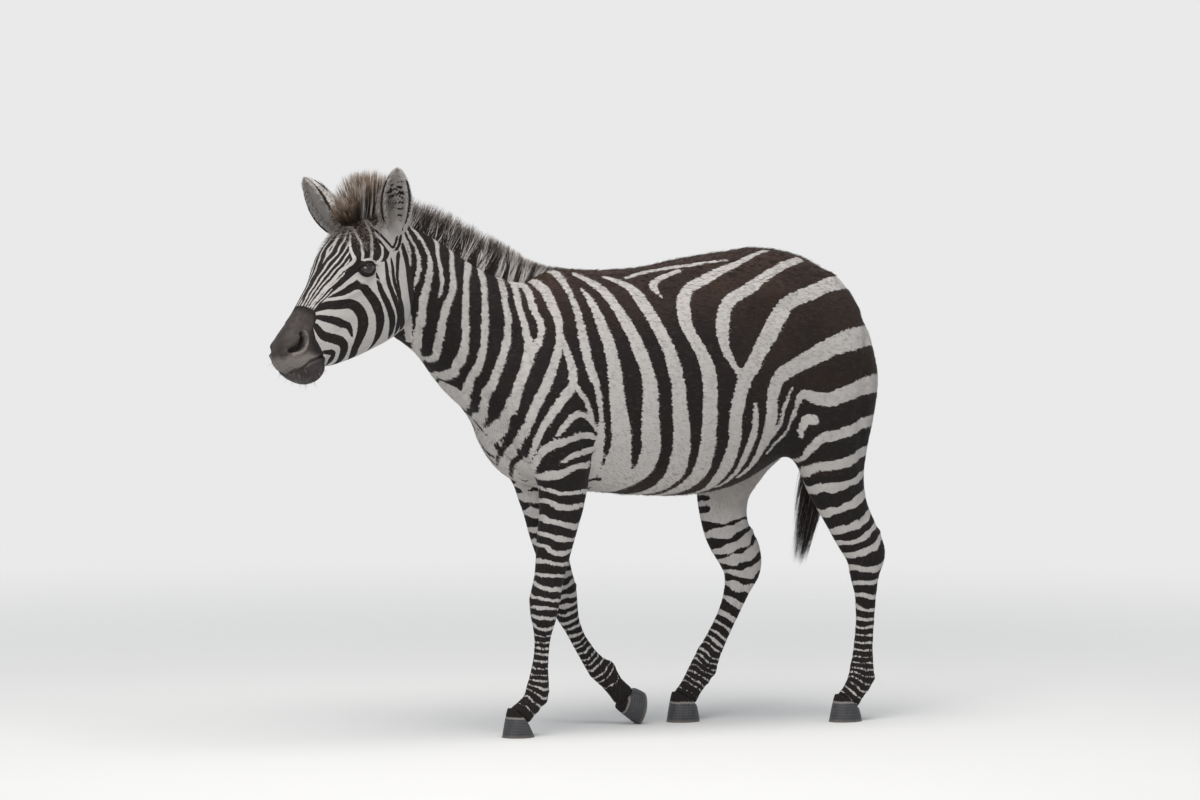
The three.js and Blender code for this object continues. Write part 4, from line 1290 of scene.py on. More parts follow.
def unwrap(obj):
    """Unwraps the skin alone, by the directions its faces look, in a map named OFBake."""
    bpy.ops.object.select_all(action="DESELECT")
    obj.data.uv_layers.new(name="OFBake")
    bpy.context.view_layer.objects.active = obj
    obj.select_set(True)
    bpy.ops.object.mode_set(mode="EDIT")
    bpy.ops.mesh.select_all(action="SELECT")
    bpy.ops.uv.smart_project(angle_limit=math.radians(60), island_margin=0.001)
    bpy.ops.object.mode_set(mode="OBJECT")
    obj.select_set(False)


# ---- Spikes: tufts, locks, lashes ------------------------------------------------------------------------


def spikes(name, roots, tips, bow, width, thick, segments, uv, values):
    """Many closed three-sided spikes in one mesh. Each follows root + (tip - root) t + bow sin(pi t), and
    its section shrinks as (1 - t) to the power 0.8. Its place on the OFBake map is its root's, in a small
    patch."""
    count = len(roots)
    t = np.linspace(0, 1, segments + 1)
    way = unit(tips - roots)
    flat = unit(np.cross(way, bow) + 1e-9)
    over = np.cross(flat, way)
    line = (roots[:, None] + (tips - roots)[:, None] * t[None, :, None]
            + bow[:, None] * np.sin(np.pi * t)[None, :, None])
    shrink = (1 - t[:-1]) ** 0.8
    corner = np.radians([90, 210, 330])
    wide, high = ((size[:, None] * shrink)[..., None, None] for size in (width, thick))
    flat_part = np.cos(corner)[None, None, :, None] * flat[:, None, None] * wide
    over_part = np.sin(corner)[None, None, :, None] * over[:, None, None] * high
    rings = line[:, :-1, None] + flat_part + over_part
    per = 3 * segments + 1
    points = np.concatenate([rings.reshape(count, -1, 3), line[:, -1:]], 1)
    faces = [(0, 2, 1)]
    for low in range(0, 3 * segments - 3, 3):
        for k, n in ((0, 1), (1, 2), (2, 0)):
            faces += [(low + k, low + n, low + 3 + n), (low + k, low + 3 + n, low + 3 + k)]
    last = 3 * (segments - 1)
    faces += [(last + k, last + (k + 1) % 3, per - 1) for k in range(3)]
    corners = (np.array(faces)[None] + (np.arange(count) * per)[:, None, None]).reshape(-1)
    mesh = bpy.data.meshes.new(name)
    mesh.vertices.add(count * per)
    mesh.vertices.foreach_set("co", points.astype(np.float32).ravel())
    mesh.loops.add(len(corners))
    mesh.loops.foreach_set("vertex_index", corners.astype(np.int32))
    mesh.polygons.add(len(corners) // 3)
    mesh.polygons.foreach_set("loop_start", np.arange(0, len(corners), 3, dtype=np.int32))
    mesh.update(calc_edges=True)
    level = np.concatenate([np.repeat(t[:-1], 3), [1.0]])
    turn = np.concatenate([np.tile([0.0, 0.5, 1.0], segments), [0.5]])
    patch = uv[:, None] + PATCH * np.stack([turn - 0.5, level - 0.5], 1)[None]
    layer = mesh.uv_layers.new(name="OFBake")
    layer.data.foreach_set("uv", patch.reshape(-1, 2)[corners].astype(np.float32).ravel())
    set_attribute(mesh, "rise", np.tile(level, count))
    for key, value in values.items():
        set_attribute(mesh, key, np.repeat(value, per))
    return smooth_shaded(mesh)


def face_table(mesh):
    """For each triangle of the mesh: its three points' numbers and its three corners' places on the map."""
    mesh.calc_loop_triangles()
    loops = read_array(mesh.loop_triangles, "loops", np.int32)
    uv = read_array(mesh.uv_layers["OFBake"].data, "uv", np.float32, 2)
    return read_array(mesh.loop_triangles, "vertices", np.int32), uv[loops]


# Directions that the hair lies in, by region.
LIE_TRUNK = np.array([0.93, 0.0, -0.36])
LIE_NECK = np.array([0.72, 0.0, -0.69])
LIE_DOWN = np.array([0.12, 0.0, -0.99])


def along_skin(way, normals):
    """Directions with the part that leaves the skin taken out."""
    return unit(way - normals * np.sum(way * normals, 1)[:, None])


def hair_lie(regions, normals):
    """The way the hair lies at each point, along the skin: back along the trunk, down the neck and the legs,
    down the face from the brow, and up the ears."""
    x, z = regions.points[:, 0], regions.points[:, 2]
    neck = (1 - ease(x, -0.25, -0.05))[:, None]
    low = np.maximum(1 - ease(z, 0.55, 0.75), ease(x, 0.68, 0.8))[:, None]
    way = LIE_TRUNK * (1 - neck) + LIE_NECK * neck
    way = way * (1 - low) + LIE_DOWN * low
    cheek = ease(-regions.face[:, 1], 0.03, 0.12)[:, None]
    face = HEAD_ALONG * (1 - cheek) + (HEAD_ALONG * 0.2 - HEAD_ABOVE) * cheek
    way = np.where(regions.head[:, None], face, way)
    for side in EARS:
        on_this = (regions.ear > 0) & ((regions.face_aside > 0) == (side == "right"))
        way = np.where(on_this[:, None], ear_axes(side)[1], way)
    return along_skin(way, normals)


# ---- Materials -------------------------------------------------------------------------------------------


class Nodes:
    """A short hand for building node trees: each call adds a node, sets its values and links its inputs."""

    def __init__(self, tree):
        self.tree = tree

    def add(self, kind, inputs=None, **settings):
        node = self.tree.nodes.new(kind)
        for key, value in settings.items():
            setattr(node, key, value)
        self.fill(node, inputs or {})
        return node

    def fill(self, node, inputs):
        """Links each input that is given a socket, and sets each that is given a plain value."""
        for key, value in inputs.items():
            if isinstance(value, bpy.types.NodeSocket):
                self.tree.links.new(value, node.inputs[key])
            else:
                node.inputs[key].default_value = value

    def math(self, operation, a, b=0.0, clamp=False):
        return self.add("ShaderNodeMath", {0: a, 1: b}, operation=operation, use_clamp=clamp).outputs[0]

    def mix(self, factor, a, b):
        return self.add("ShaderNodeMix", {0: factor, 6: a, 7: b}, data_type="RGBA").outputs[2]

    def between(self, factor, a, b):
        return self.add("ShaderNodeMix", {0: factor, 2: a, 3: b}, data_type="FLOAT").outputs[0]

    def step(self, value, low, high):
        inputs = {0: value, 1: low, 2: high, 3: 0.0, 4: 1.0}
        return self.add("ShaderNodeMapRange", inputs, interpolation_type="SMOOTHSTEP").outputs[0]

    def fading(self, value, low, high, strength):
        """A smooth step from 0 at low to a strength at high."""
        return self.math("MULTIPLY", self.step(value, low, high), strength)

    def around_middle(self, value, strength):
        """A noise's value less its mean, times a strength."""
        return self.math("MULTIPLY", self.math("SUBTRACT", value, 0.5), strength)

    def attribute(self, name):
        return self.add("ShaderNodeAttribute", attribute_name=name).outputs["Fac"]

    def place(self):
        return self.add("ShaderNodeTexCoord").outputs["Object"]

    def noise(self, coordinates, scale, detail=3.0, roughness=0.55):
        inputs = {"Vector": coordinates, "Scale": scale, "Detail": detail, "Roughness": roughness}
        return self.add("ShaderNodeTexNoise", inputs).outputs["Fac"]

    def mapped(self, coordinates, scale):
        return self.add("ShaderNodeMapping", {"Vector": coordinates, "Scale": scale}).outputs[0]

    def bump(self, strength, distance, height):
        inputs = {"Strength": strength, "Distance": distance, "Height": height}
        return self.add("ShaderNodeBump", inputs).outputs[0]


def new_material(name):
    """A material with a Principled shader. Returns it with its node helper and its shader."""
    material = bpy.data.materials.new(name)
    material.use_nodes = True
    tree = material.node_tree
    return material, Nodes(tree), tree.nodes["Principled BSDF"]


def strand_group():
    """A node group for fine hair: noise drawn out along the body on the trunk and down the legs."""
    group = bpy.data.node_groups.new("fine strands", "ShaderNodeTree")
    group.interface.new_socket("Limb", in_out="INPUT", socket_type="NodeSocketFloat")
    group.interface.new_socket("Fine", in_out="OUTPUT", socket_type="NodeSocketFloat")
    group.interface.new_socket("Coarse", in_out="OUTPUT", socket_type="NodeSocketFloat")
    nodes = Nodes(group)
    limb = nodes.add("NodeGroupInput").outputs["Limb"]
    end = nodes.add("NodeGroupOutput")
    place = nodes.place()
    on_trunk, on_limb = nodes.mapped(place, (0.22, 1.0, 0.75)), nodes.mapped(place, (1.0, 1.0, 0.2))
    for socket, scale in (("Fine", 620.0), ("Coarse", 230.0)):
        strands = nodes.between(limb, nodes.noise(on_trunk, scale), nodes.noise(on_limb, scale))
        group.links.new(strands, end.inputs[socket])
    return group


def coat_colour(nodes, colours):
    """The coat's colour and height: the marking's edge is frayed by strands, dark hair goes from
    black-brown to chocolate with painted highlights of lighter glints, white hair is greyer as painted shade
    where sheltered and flecked on the back, and the muzzle is bare dark skin, mottled, with speckled pale
    lips."""
    strands = nodes.add("ShaderNodeGroup", {"Limb": nodes.attribute("limb")}, node_tree=strand_group())
    fine, coarse = strands.outputs["Fine"], strands.outputs["Coarse"]
    place = nodes.place()
    fray = nodes.math("ADD", nodes.around_middle(fine, FRAY), nodes.around_middle(coarse, 2 * FRAY))
    fray = nodes.math("MULTIPLY", fray, nodes.attribute("frayed"))
    dark_mask = nodes.step(nodes.math("ADD", nodes.attribute("marking"), fray), -0.09, 0.09)
    tan = nodes.attribute("tan")
    brownness = nodes.math("MULTIPLY", tan, nodes.step(nodes.noise(place, 7.0), 0.2, 0.8))
    brownness = nodes.math("ADD", brownness, nodes.math("MULTIPLY", tan, 0.35), clamp=True)
    dark = nodes.mix(brownness, colours["black"], colours["brown"])
    # Painted highlight: patches of the dark hair take the lighter glint colour, as if light caught it there.
    dark = nodes.mix(nodes.fading(coarse, 0.5, 0.8, 0.35), dark, colours["glint"])
    # Painted shade: white hair turns grey where pale marks sheltered places.
    white = nodes.mix(nodes.attribute("pale"), colours["white"], colours["grey"])
    white = nodes.mix(nodes.fading(coarse, 0.35, 0.8, 0.4), white, colours["grey"])
    fleck = nodes.math("MULTIPLY", nodes.step(coarse, 0.5, 0.75), nodes.math("MULTIPLY", tan, 0.6))
    white = nodes.mix(fleck, white, rgb((0.2, 0.16, 0.135)))
    mottled = nodes.fading(nodes.noise(place, 60.0), 0.35, 0.75, 0.5)
    speckle = nodes.fading(nodes.noise(place, 210.0, 2.0), 0.55, 0.68, 0.5)
    lip = nodes.math("MAXIMUM", nodes.math("SUBTRACT", nodes.attribute("lip"), speckle), 0.0)
    skin = nodes.mix(lip, nodes.mix(mottled, colours["muzzle"], colours["muzzle_light"]), colours["lip"])
    colour = nodes.mix(nodes.attribute("bare"), nodes.mix(dark_mask, white, dark), skin)
    height = nodes.math("ADD", nodes.math("MULTIPLY", fine, 0.6), nodes.math("MULTIPLY", coarse, 0.6))
    return colour, height


def rgb(values):
    """A colour with full alpha."""
    return (*values[:3], 1.0)


def palette(coat):
    """The coat's colours from its settings."""
    return {key: rgb(getattr(coat, key)) for key in
            ("black", "brown", "glint", "white", "grey", "muzzle", "muzzle_light", "lip")}


def coat_material(coat):
    """Short fur, on the skin and on every tuft."""
    found = bpy.data.materials.get("coat")
    if found:
        return found
    material, nodes, shader = new_material("coat")
    colour, height = coat_colour(nodes, palette(coat))
    tips = nodes.fading(nodes.attribute("rise"), 0.5, 1.0, 0.08)
    nodes.fill(shader, {
        "Base Color": nodes.mix(tips, colour, rgb((0.5, 0.44, 0.39))),
        "Normal": nodes.bump(0.35, 0.0015, height),
        "Roughness": nodes.between(nodes.attribute("bare"), 0.82, 0.62),
        "Specular IOR Level": 0.18,
        "Sheen Weight": 0.03,
        "Sheen Roughness": 0.5,
    })
    return material


def hair_material(name, coat, tip_colour, tip_share):
    """Long stiff hair that takes the coat's marking at its root and its own colour towards the tip."""
    material, nodes, shader = new_material(name)
    colours = palette(coat)
    dark = nodes.mix(nodes.attribute("tan"), colours["black"], colours["brown"])
    # Painted light: the hair's white is a quarter brighter than the coat's, as if in sun, to make up for the
    # shade between its thin strands.
    white = rgb([1.25 * part for part in colours["white"][:3]])
    hair = nodes.mix(nodes.step(nodes.attribute("marking"), -0.12, 0.12), white, dark)
    near_tip = nodes.step(nodes.attribute("rise"), *tip_share)
    tipped = nodes.math("MULTIPLY", near_tip, nodes.attribute("tipped"))
    colour = nodes.mix(tipped, hair, rgb(tip_colour))
    streak = nodes.noise(nodes.mapped(nodes.place(), (1, 1, 0.2)), 400.0)
    nodes.fill(shader, {
        # Painted highlight: streaks of the glint colour run along each hair, lightening dark hair and greying
        # white hair.
        "Base Color": nodes.mix(nodes.fading(streak, 0.45, 0.75, 0.18), colour, colours["glint"]),
        "Roughness": nodes.step(streak, -1.2, 2.0),
        "Specular IOR Level": 0.3,
    })
    return material


# ---- Settings --------------------------------------------------------------------------------------------


def colour_setting(name, description, default):
    """A colour that the user may change."""
    return bpy.props.FloatVectorProperty(name=name, description=description, default=default, subtype="COLOR",
                                         size=3, min=0, max=1)


def length_setting(name, description, default):
    """A length that the user may change."""
    return bpy.props.FloatProperty(name=name, description=description, default=default, min=0.0,
                                   unit="LENGTH", subtype="DISTANCE", precision=4)


def power_setting(name, description, default):
    """A lamp's power that the user may change."""
    return bpy.props.FloatProperty(name=name, description=description, default=default, min=0, unit="POWER")


class ZebraBody(bpy.types.PropertyGroup):
    """Sizes of the skin."""

    depth: bpy.props.FloatProperty(name="Coat depth", default=SKIN_DEPTH, min=0, max=10,
                                   description="Millimetres from the solids in to the skin")
    voxel: length_setting("Face size", "Size of the skin's faces as it is wrapped", 0.0085)


class ZebraCoat(bpy.types.PropertyGroup):
    """Colours and length of the coat."""

    black: colour_setting("Black", "Darkest hair", (0.0105, 0.008, 0.0078))
    brown: colour_setting("Brown", "Dark hair of the back and rump", (0.036, 0.0205, 0.0145))
    # Glint is a painted highlight: lighter strands that stand in for light catching the dark hair.
    glint: colour_setting("Glint", "Lighter strands in dark hair", (0.065, 0.052, 0.046))
    white: colour_setting("White", "White hair", (0.475, 0.45, 0.432))
    # Grey is painted shade on sheltered white hair, and also the colour of random grey streaks in white hair.
    grey: colour_setting("Grey", "White hair where it is sheltered", (0.35, 0.322, 0.3))
    muzzle: colour_setting("Muzzle", "Bare skin of the muzzle", (0.036, 0.029, 0.028))
    muzzle_light: colour_setting("Muzzle, light", "Lighter mottles of the muzzle", (0.088, 0.072, 0.068))
    # Lip is also painted as a highlight round the tip of the nose.
    lip: colour_setting("Lip", "Pale grey of the upper lip and the nostrils' rims", (0.185, 0.164, 0.148))
    tuft_length: length_setting("Tuft length", "Length of a tuft on the trunk", 0.0095)
    tufts: bpy.props.IntProperty(name="Tufts", default=18500, min=100, max=19500,
                                 description="Tufts on the fullest piece of the coat")


class ZebraStage(bpy.types.PropertyGroup):
    """The floor, the backdrop and the lamps."""

    floor: colour_setting("Floor", "Colour of the floor and backdrop", (0.84, 0.835, 0.825))
    key: power_setting("Top lamp", "Power of the large lamp above", 315)
    fill: power_setting("Fill lamp", "Power of the lamp beside the camera", 250)


# ---- Pieces ----------------------------------------------------------------------------------------------


def finish_piece(name, mesh, material, nodes=()):
    """A new piece: gives it its material, lets it ride on the figure, and hides its nodes."""
    piece = new_object(name, mesh)
    mesh.materials.append(material)
    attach(piece, "root")
    if nodes:
        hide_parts(*nodes)
    return piece


def fewer(count):
    return int(count * (1.0))


def joined(parts):
    """Each column of a list of parts joined into one array."""
    return [np.concatenate(column) for column in zip(*parts)]


def muzzle_zone(middles):
    """Faces near the lips and the nostrils."""
    chart = face_chart(middles)
    along = face_axes(middles)
    near = np.minimum(path_distance(chart, MOUTH), path_distance(chart, NOSTRIL))
    return (near < 0.016) & (along[:, 0] > 0.3) & (along[:, 2] > -0.2) & (along[:, 2] < 0.02)


def bridge_zone(middles):
    """Faces of the bridge and the cheek's front, where the thin lines are."""
    along, height = face_chart(middles).T
    above = face_axes(middles)[:, 2]
    return (along > 0.15) & (along < 0.335) & (height > -0.06) & (above > -0.2) & (above < 0.05)


def leg_zone(middles):
    """Faces of the legs below the body."""
    return middles[:, 2] < 0.56


def eye_gap(middles):
    """How far each face is from the nearer eye's middle."""
    return np.minimum(*[gap_to(middles, eye_axes(sign)[0]) for sign in (-1, 1)])


def brow_zone(middles):
    """Faces round the eyes."""
    return eye_gap(middles) < 0.06


def eye_zone(middles):
    """Faces near the eyes."""
    return eye_gap(middles) < 0.038


class OBJECT_OT_zebra_skin(bpy.types.Operator):
    """Wraps, sculpts and marks the one skin of the whole body"""

    bl_idname = "object.zebra_skin"
    bl_label = "Build the skin"

    def execute(self, context):
        scene = context.scene
        mesh = wrapped_skin(scene.zebra_body.depth, scene.zebra_body.voxel)
        mesh.name = "skin"
        points = read_points(mesh)
        edges = read_edges(mesh)
        points = relaxed(points, edges, np.full(len(points), 0.5), 4)
        points = relaxed(points, edges, blend_weights(points) * 0.7, 45)
        write_points(mesh, points)
        for zone in (leg_zone, muzzle_zone, bridge_zone, brow_zone, eye_zone):
            refine(mesh, zone)
        write_points(mesh, sculpted(read_points(mesh), read_normals(mesh)))
        points = read_points(mesh)
        points = lidded(relaxed(points, read_edges(mesh), np.where(eye_zone(points), 0.6, 0.25), 2))
        write_points(mesh, points)
        values, _ = markings(points)
        for name, value in values.items():
            set_attribute(mesh, name, value)
        set_attribute(mesh, "rise", np.zeros(len(points)))
        skin = finish_piece("skin", smooth_shaded(mesh), coat_material(scene.zebra_coat))
        unwrap(skin)
        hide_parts(*EVERY_NODE_OF_FLESH)
        return {"FINISHED"}


# Pieces of the coat: share of the full number of tufts, and length as a share of the trunk's.
COAT_PIECES = {
    "coat_trunk_left": (1.0, 1.0),
    "coat_trunk_right": (1.0, 1.0),
    "coat_neck": (0.85, 0.95),
    "coat_head": (0.95, 0.45),
    "coat_forelegs": (0.75, 0.6),
    "coat_hindlegs": (0.95, 0.65),
}


def coat_piece_masks(regions):
    """Which piece of the coat each point belongs to."""
    x, z = regions.points[:, 0], regions.points[:, 2]
    by_leg = {kind: (regions.legs[kind + "_left"][4] < 1.6) | (regions.legs[kind + "_right"][4] < 1.6)
              for kind in ("foreleg", "hindleg")}
    head = regions.head | (regions.ear > 0)
    fore = ~head & (z < 0.7) & (x < 0.3) & by_leg["foreleg"]
    hind = ~head & (x > 0.35) & (z < 0.72) & by_leg["hindleg"]
    neck = ~head & ~fore & (x < -0.17)
    trunk = ~head & ~fore & ~hind & ~neck
    return {
        "coat_trunk_left": trunk & ~regions.right,
        "coat_trunk_right": trunk & regions.right,
        "coat_neck": neck,
        "coat_head": head,
        "coat_forelegs": fore,
        "coat_hindlegs": hind,
    }


def tuft_length_share(regions, values):
    """Longer on the back, the brow, the belly and the ears, and shortest on the feet and round the muzzle."""
    x, z = regions.points[:, 0], regions.points[:, 2]
    along, height = regions.face.T
    share = 1 + 0.5 * ease(z, 1.08, 1.2) * (x > -0.2)
    share = share + 0.35 * ease(-z, -0.68, -0.58) * (values["limb"] < 0.5)
    share = share * (1 - 0.45 * values["limb"] * ease(-z, -0.4, -0.15))
    share = share * (1 + 1.3 * regions.head * ease(-along, -0.1, 0.02) * ease(height, -0.08, 0.02))
    share = share * (1 - 0.6 * values["bare"]) * (1 - 0.4 * regions.head * ease(along, 0.05, 0.12))
    return share * np.where(regions.ear > 0, 1.25, 1.0)


class OBJECT_OT_zebra_coat(bpy.types.Operator):
    """Covers the skin with short tufts that lie along the body, in six pieces"""

    bl_idname = "object.zebra_coat"
    bl_label = "Build the coat"

    def execute(self, context):
        coat = context.scene.zebra_coat
        skin = bpy.data.objects["skin"].data
        points, normals = read_points(skin), read_normals(skin)
        triangles, maps = face_table(skin)
        corners = points[triangles]
        across = np.cross(corners[:, 1] - corners[:, 0], corners[:, 2] - corners[:, 0])
        area = 0.5 * np.linalg.norm(across, axis=1)
        middles = corners.mean(1)
        masks = coat_piece_masks(Regions(middles))
        beside_eyes = eye_gap(middles) >= EYE_RADIUS + 0.0032
        for number, (name, (count_share, length_share)) in enumerate(COAT_PIECES.items()):
            random = np.random.default_rng(SEEDS["coat"] + number)
            weight = area * masks[name] * beside_eyes
            if not weight.any():
                raise RuntimeError(f"no skin was found for {name}")
            count = fewer(coat.tufts * count_share)
            picked = random.choice(len(area), count, p=weight / weight.sum())
            mix = random.dirichlet((1, 1, 1), count)
            root, normal, place = (np.einsum("nk,nkd->nd", mix, table[picked])
                                   for table in (corners, normals[triangles], maps))
            normal = unit(normal)
            values, regions = markings(root)
            lie = unit(hair_lie(regions, normal) + 0.11 * unit(random.normal(size=(count, 3))))
            share = tuft_length_share(regions, values) * random.uniform(0.7, 1.25, count)
            by_edge = 0.7 + 0.3 * ease(np.abs(values["marking"]), 0.0, 0.6)
            length = coat.tuft_length * length_share * share * by_edge
            lift = 0.05 + 0.07 * random.random(count) + 0.15 * (share > 1.5)
            tip = root + (lie + normal * lift[:, None]) * length[:, None]
            bow = normal * (0.10 * length)[:, None]
            root = root - normal * (0.06 * length)[:, None]
            mesh = spikes(name, root, tip, bow, 0.05 * length + 0.0003, 0.022 * length, 2, place, values)
            finish_piece(name, mesh, coat_material(coat))
        return {"FINISHED"}


def hair_piece(name, coat, hair, looks, width, flat, segments, place, values, nodes=()):
    """A piece of long hair. The hair has its roots, tips and bows; the looks are its material's name, its
    tips' colour and where along a hair they begin and end; its thickness is its width times flat."""
    mesh = spikes(name, *hair, width, width * flat, segments, place, values)
    material = hair_material(looks[0], coat, *looks[1:])
    finish_piece(name, mesh, material, nodes)
    return material


def hair_values(marking, tan, tipped):
    """What the hair's material reads: marking, brown and strength of the tips, each for every hair."""
    count = max(np.size(part) for part in (marking, tan, tipped))
    parts = {"marking": marking, "tan": tan, "tipped": tipped}
    return {key: np.broadcast_to(part, count) for key, part in parts.items()}


def hull_points(rows, u, height, spread):
    """Points of a hair hull: height goes from 0 at its root to 1 at its tips and spread from -1 to 1
    across."""
    values, _, side, _ = ring_frames(rows, u, ACROSS_BODY)
    base = values[:, :3] - np.array([0, 0, 1.0]) * (values[:, 5] * 0.6)[:, None]
    top = values[:, :3] + np.array([0, 0, 1.0]) * values[:, 4][:, None]
    narrow = values[:, 3] * (0.75 - 0.15 * height)
    return base + (top - base) * height[:, None] + side * (spread * narrow)[:, None]


def upright_hair(name, rows, count, coat, lean, fan, splay, tips, tan, ragged):
    """A crest of upright locks with a core under them. Locks root at random along the crest and across it,
    and gather in clumps whose tips stand together at uneven heights; the core is the same hull, narrower
    and lower."""
    random = np.random.default_rng(SEEDS[name])
    last = len(rows) - 1
    clumps = max(count // 11, 1)
    clump = random.integers(0, clumps, count)
    clump_u = random.uniform(0, last, clumps)[clump]
    clump_spread = random.uniform(-1, 1, clumps)[clump]
    clump_height = (1.08 - ragged * random.random(clumps) ** 1.6)[clump]
    clump_lean = (lean * random.uniform(0.4, 1.3, clumps))[clump]
    u = np.clip(clump_u + random.normal(0, 0.08, count), 0, last)
    spread = np.clip(clump_spread + random.normal(0, 0.25, count), -1, 1)
    full = clump_height - 0.07 * random.random(count) - 0.07 * clump_spread**2
    root = hull_points(rows, u, np.zeros(count), spread * 0.8)
    tip_u = np.clip(clump_u + clump_lean + random.normal(0, 0.05, count), 0, last)
    tip = hull_points(rows, tip_u, full, np.clip(clump_spread + random.normal(0, 0.15, count), -1.1, 1.1))
    tip = tip + HEAD_FORWARD * (fan * (u / last) ** 1.5)[:, None]
    tip = tip + HEAD_RIGHT * (splay * clump_spread * full)[:, None]
    bow = np.stack([random.normal(0, 0.03, count), random.normal(0, 0.03, count), np.zeros(count)], 1)
    bow = bow * np.linalg.norm(tip - root, axis=1)[:, None]
    marking = crest_marking(rows, u, spread) + random.normal(0, 0.25, count)
    brown = np.clip(tan + random.normal(0, 0.25, count), 0, 1)
    tipped = np.clip(CREST_TIPPED * random.uniform(0.55, 1.15, count), 0, 1)
    tipped = tipped * (1 - 0.5 * ease(-marking, 0.0, 0.5))
    place = 0.05 + 0.9 * np.stack([u / last, (spread + 1) / 2], 1)
    width = 0.0010 + 0.0007 * random.random(count)
    looks = (name + "_hair", *tips)
    material = hair_piece(name + "_locks", coat, (root, tip, bow), looks, width, 0.5, 4, place,
                          hair_values(marking, brown, tipped), [name])
    core_u = np.linspace(0.05, last - 0.05, CORE_RINGS)
    angle = np.linspace(0, 2 * np.pi, CORE_SIDES, endpoint=False)
    rings = np.stack([hull_points(rows, core_u, np.full(CORE_RINGS, 0.36 + 0.36 * math.sin(a)),
                                  np.full(CORE_RINGS, 0.7 * math.cos(a))) for a in angle], 1)
    core = mesh_from(name + "_core", *rings_mesh(rings))
    per_ring = np.repeat(crest_marking(rows, core_u, np.zeros(CORE_RINGS)), CORE_SIDES)
    set_attribute(core, "marking", np.concatenate([per_ring, per_ring[[0, -1]]]))
    rise = np.tile(0.36 + 0.36 * np.sin(angle), CORE_RINGS)
    set_attribute(core, "rise", np.concatenate([rise, [0.3, 0.3]]))
    set_attribute(core, "tan", np.full(len(core.vertices), tan))
    set_attribute(core, "tipped", np.full(len(core.vertices), CREST_TIPPED))
    finish_piece(name + "_core", smooth_shaded(core), material)


def crest_marking(rows, u, spread):
    """The marking of the neck's side just below the crest, so that the neck's bands run on into the mane."""
    below = hull_points(rows, u, np.zeros(len(u)), spread)
    below[:, 2] -= 0.02
    below[:, 1] += np.where(spread < 0, -0.02, 0.02)
    return markings(below)[0]["marking"] + 0.1


class OBJECT_OT_zebra_mane(bpy.types.Operator):
    """Builds the upright mane and the forelock"""

    bl_idname = "object.zebra_mane"
    bl_label = "Build the mane"

    def execute(self, context):
        coat = context.scene.zebra_coat
        upright_hair("mane", stations_of(MANE), fewer(8800), coat, lean=-0.7, fan=0.0, splay=0.0,
                     tips=((0.055, 0.036, 0.025), (0.58, 0.92)), tan=0.35, ragged=0.34)
        upright_hair("forelock", stations_of(FORELOCK), fewer(4200), coat, lean=0.0, fan=0.06, splay=0.045,
                     tips=((0.17, 0.116, 0.077), (0.42, 0.95)), tan=0.55, ragged=0.42)
        return {"FINISHED"}


class OBJECT_OT_zebra_brow(bpy.types.Operator):
    """Grows longer, fuzzy hair over the poll and the brow, and a pale tuft in front of each ear"""

    bl_idname = "object.zebra_brow"
    bl_label = "Build the brow hair"

    def execute(self, context):
        skin = bpy.data.objects["skin"].data
        points, normals = read_points(skin), read_normals(skin)
        along, aside, _ = face_axes(points).T
        height = face_chart(points)[:, 1]
        fuzz = ease(-along, -0.075, -0.01) * ease(height, -0.06, -0.01)
        fuzz = fuzz * (along > -0.11) * (np.abs(aside) < 0.085)
        for side in EARS:
            fuzz = fuzz * (gap_to(points, ear_axes(side)[0]) > 0.03)
        random = np.random.default_rng(SEEDS["brow"])
        count = fewer(4200)
        picked = random.choice(len(points), count, p=fuzz / fuzz.sum())
        root = points[picked] + 0.0015 * random.normal(size=(count, 3))
        normal = normals[picked]
        way = unit(HEAD_ALONG * 0.75 - HEAD_ABOVE * 0.1 + 0.3 * random.normal(size=(count, 3)))
        way = along_skin(way, normal)
        length = random.uniform(0.010, 0.019, count)
        lift = random.uniform(0.25, 0.75, count)[:, None]
        hair = [(root, root + (way + normal * lift) * length[:, None], normal * 0.002)]
        shade = markings(root)[0]["marking"]
        marks = np.where(random.random(count) < 0.7, shade, random.normal(-0.2, 0.8, count))
        many = 130
        for side in EARS:
            base, up, front, across = ear_axes(side)
            middle = -np.sign(across @ HEAD_RIGHT) * np.sign(EARS[side][0][1])
            t = random.uniform(0.0, 0.25, many)
            start = base + up * (EAR_LENGTH * t)[:, None]
            start = start + front * random.uniform(0.004, 0.016, many)[:, None]
            start = start + across * (middle * ear_radius(t) * random.uniform(0.6, 0.95, many))[:, None]
            climb = unit(up + 0.25 * front + 0.12 * random.normal(size=(many, 3)))
            end = start + climb * random.uniform(0.02, 0.045, many)[:, None]
            hair.append((start, end, np.tile([0, 0, 0.001], (many, 1))))
        white = np.zeros(many * len(EARS))
        tan = np.concatenate([np.clip(random.normal(0.7, 0.25, count), 0, 1), white])
        tipped = np.concatenate([random.uniform(0.2, 1.0, count), white])
        total = len(tan)
        place = np.stack([random.uniform(0.05, 0.95, total), random.uniform(0.05, 0.95, total)], 1)
        hair_piece("brow_hair", context.scene.zebra_coat, joined(hair),
                   ("brow_fuzz", (0.33, 0.265, 0.215), (0.1, 0.8)), np.full(total, 0.00065), 0.5, 3, place,
                   hair_values(np.concatenate([marks, white - 2.0]), tan, tipped))
        return {"FINISHED"}


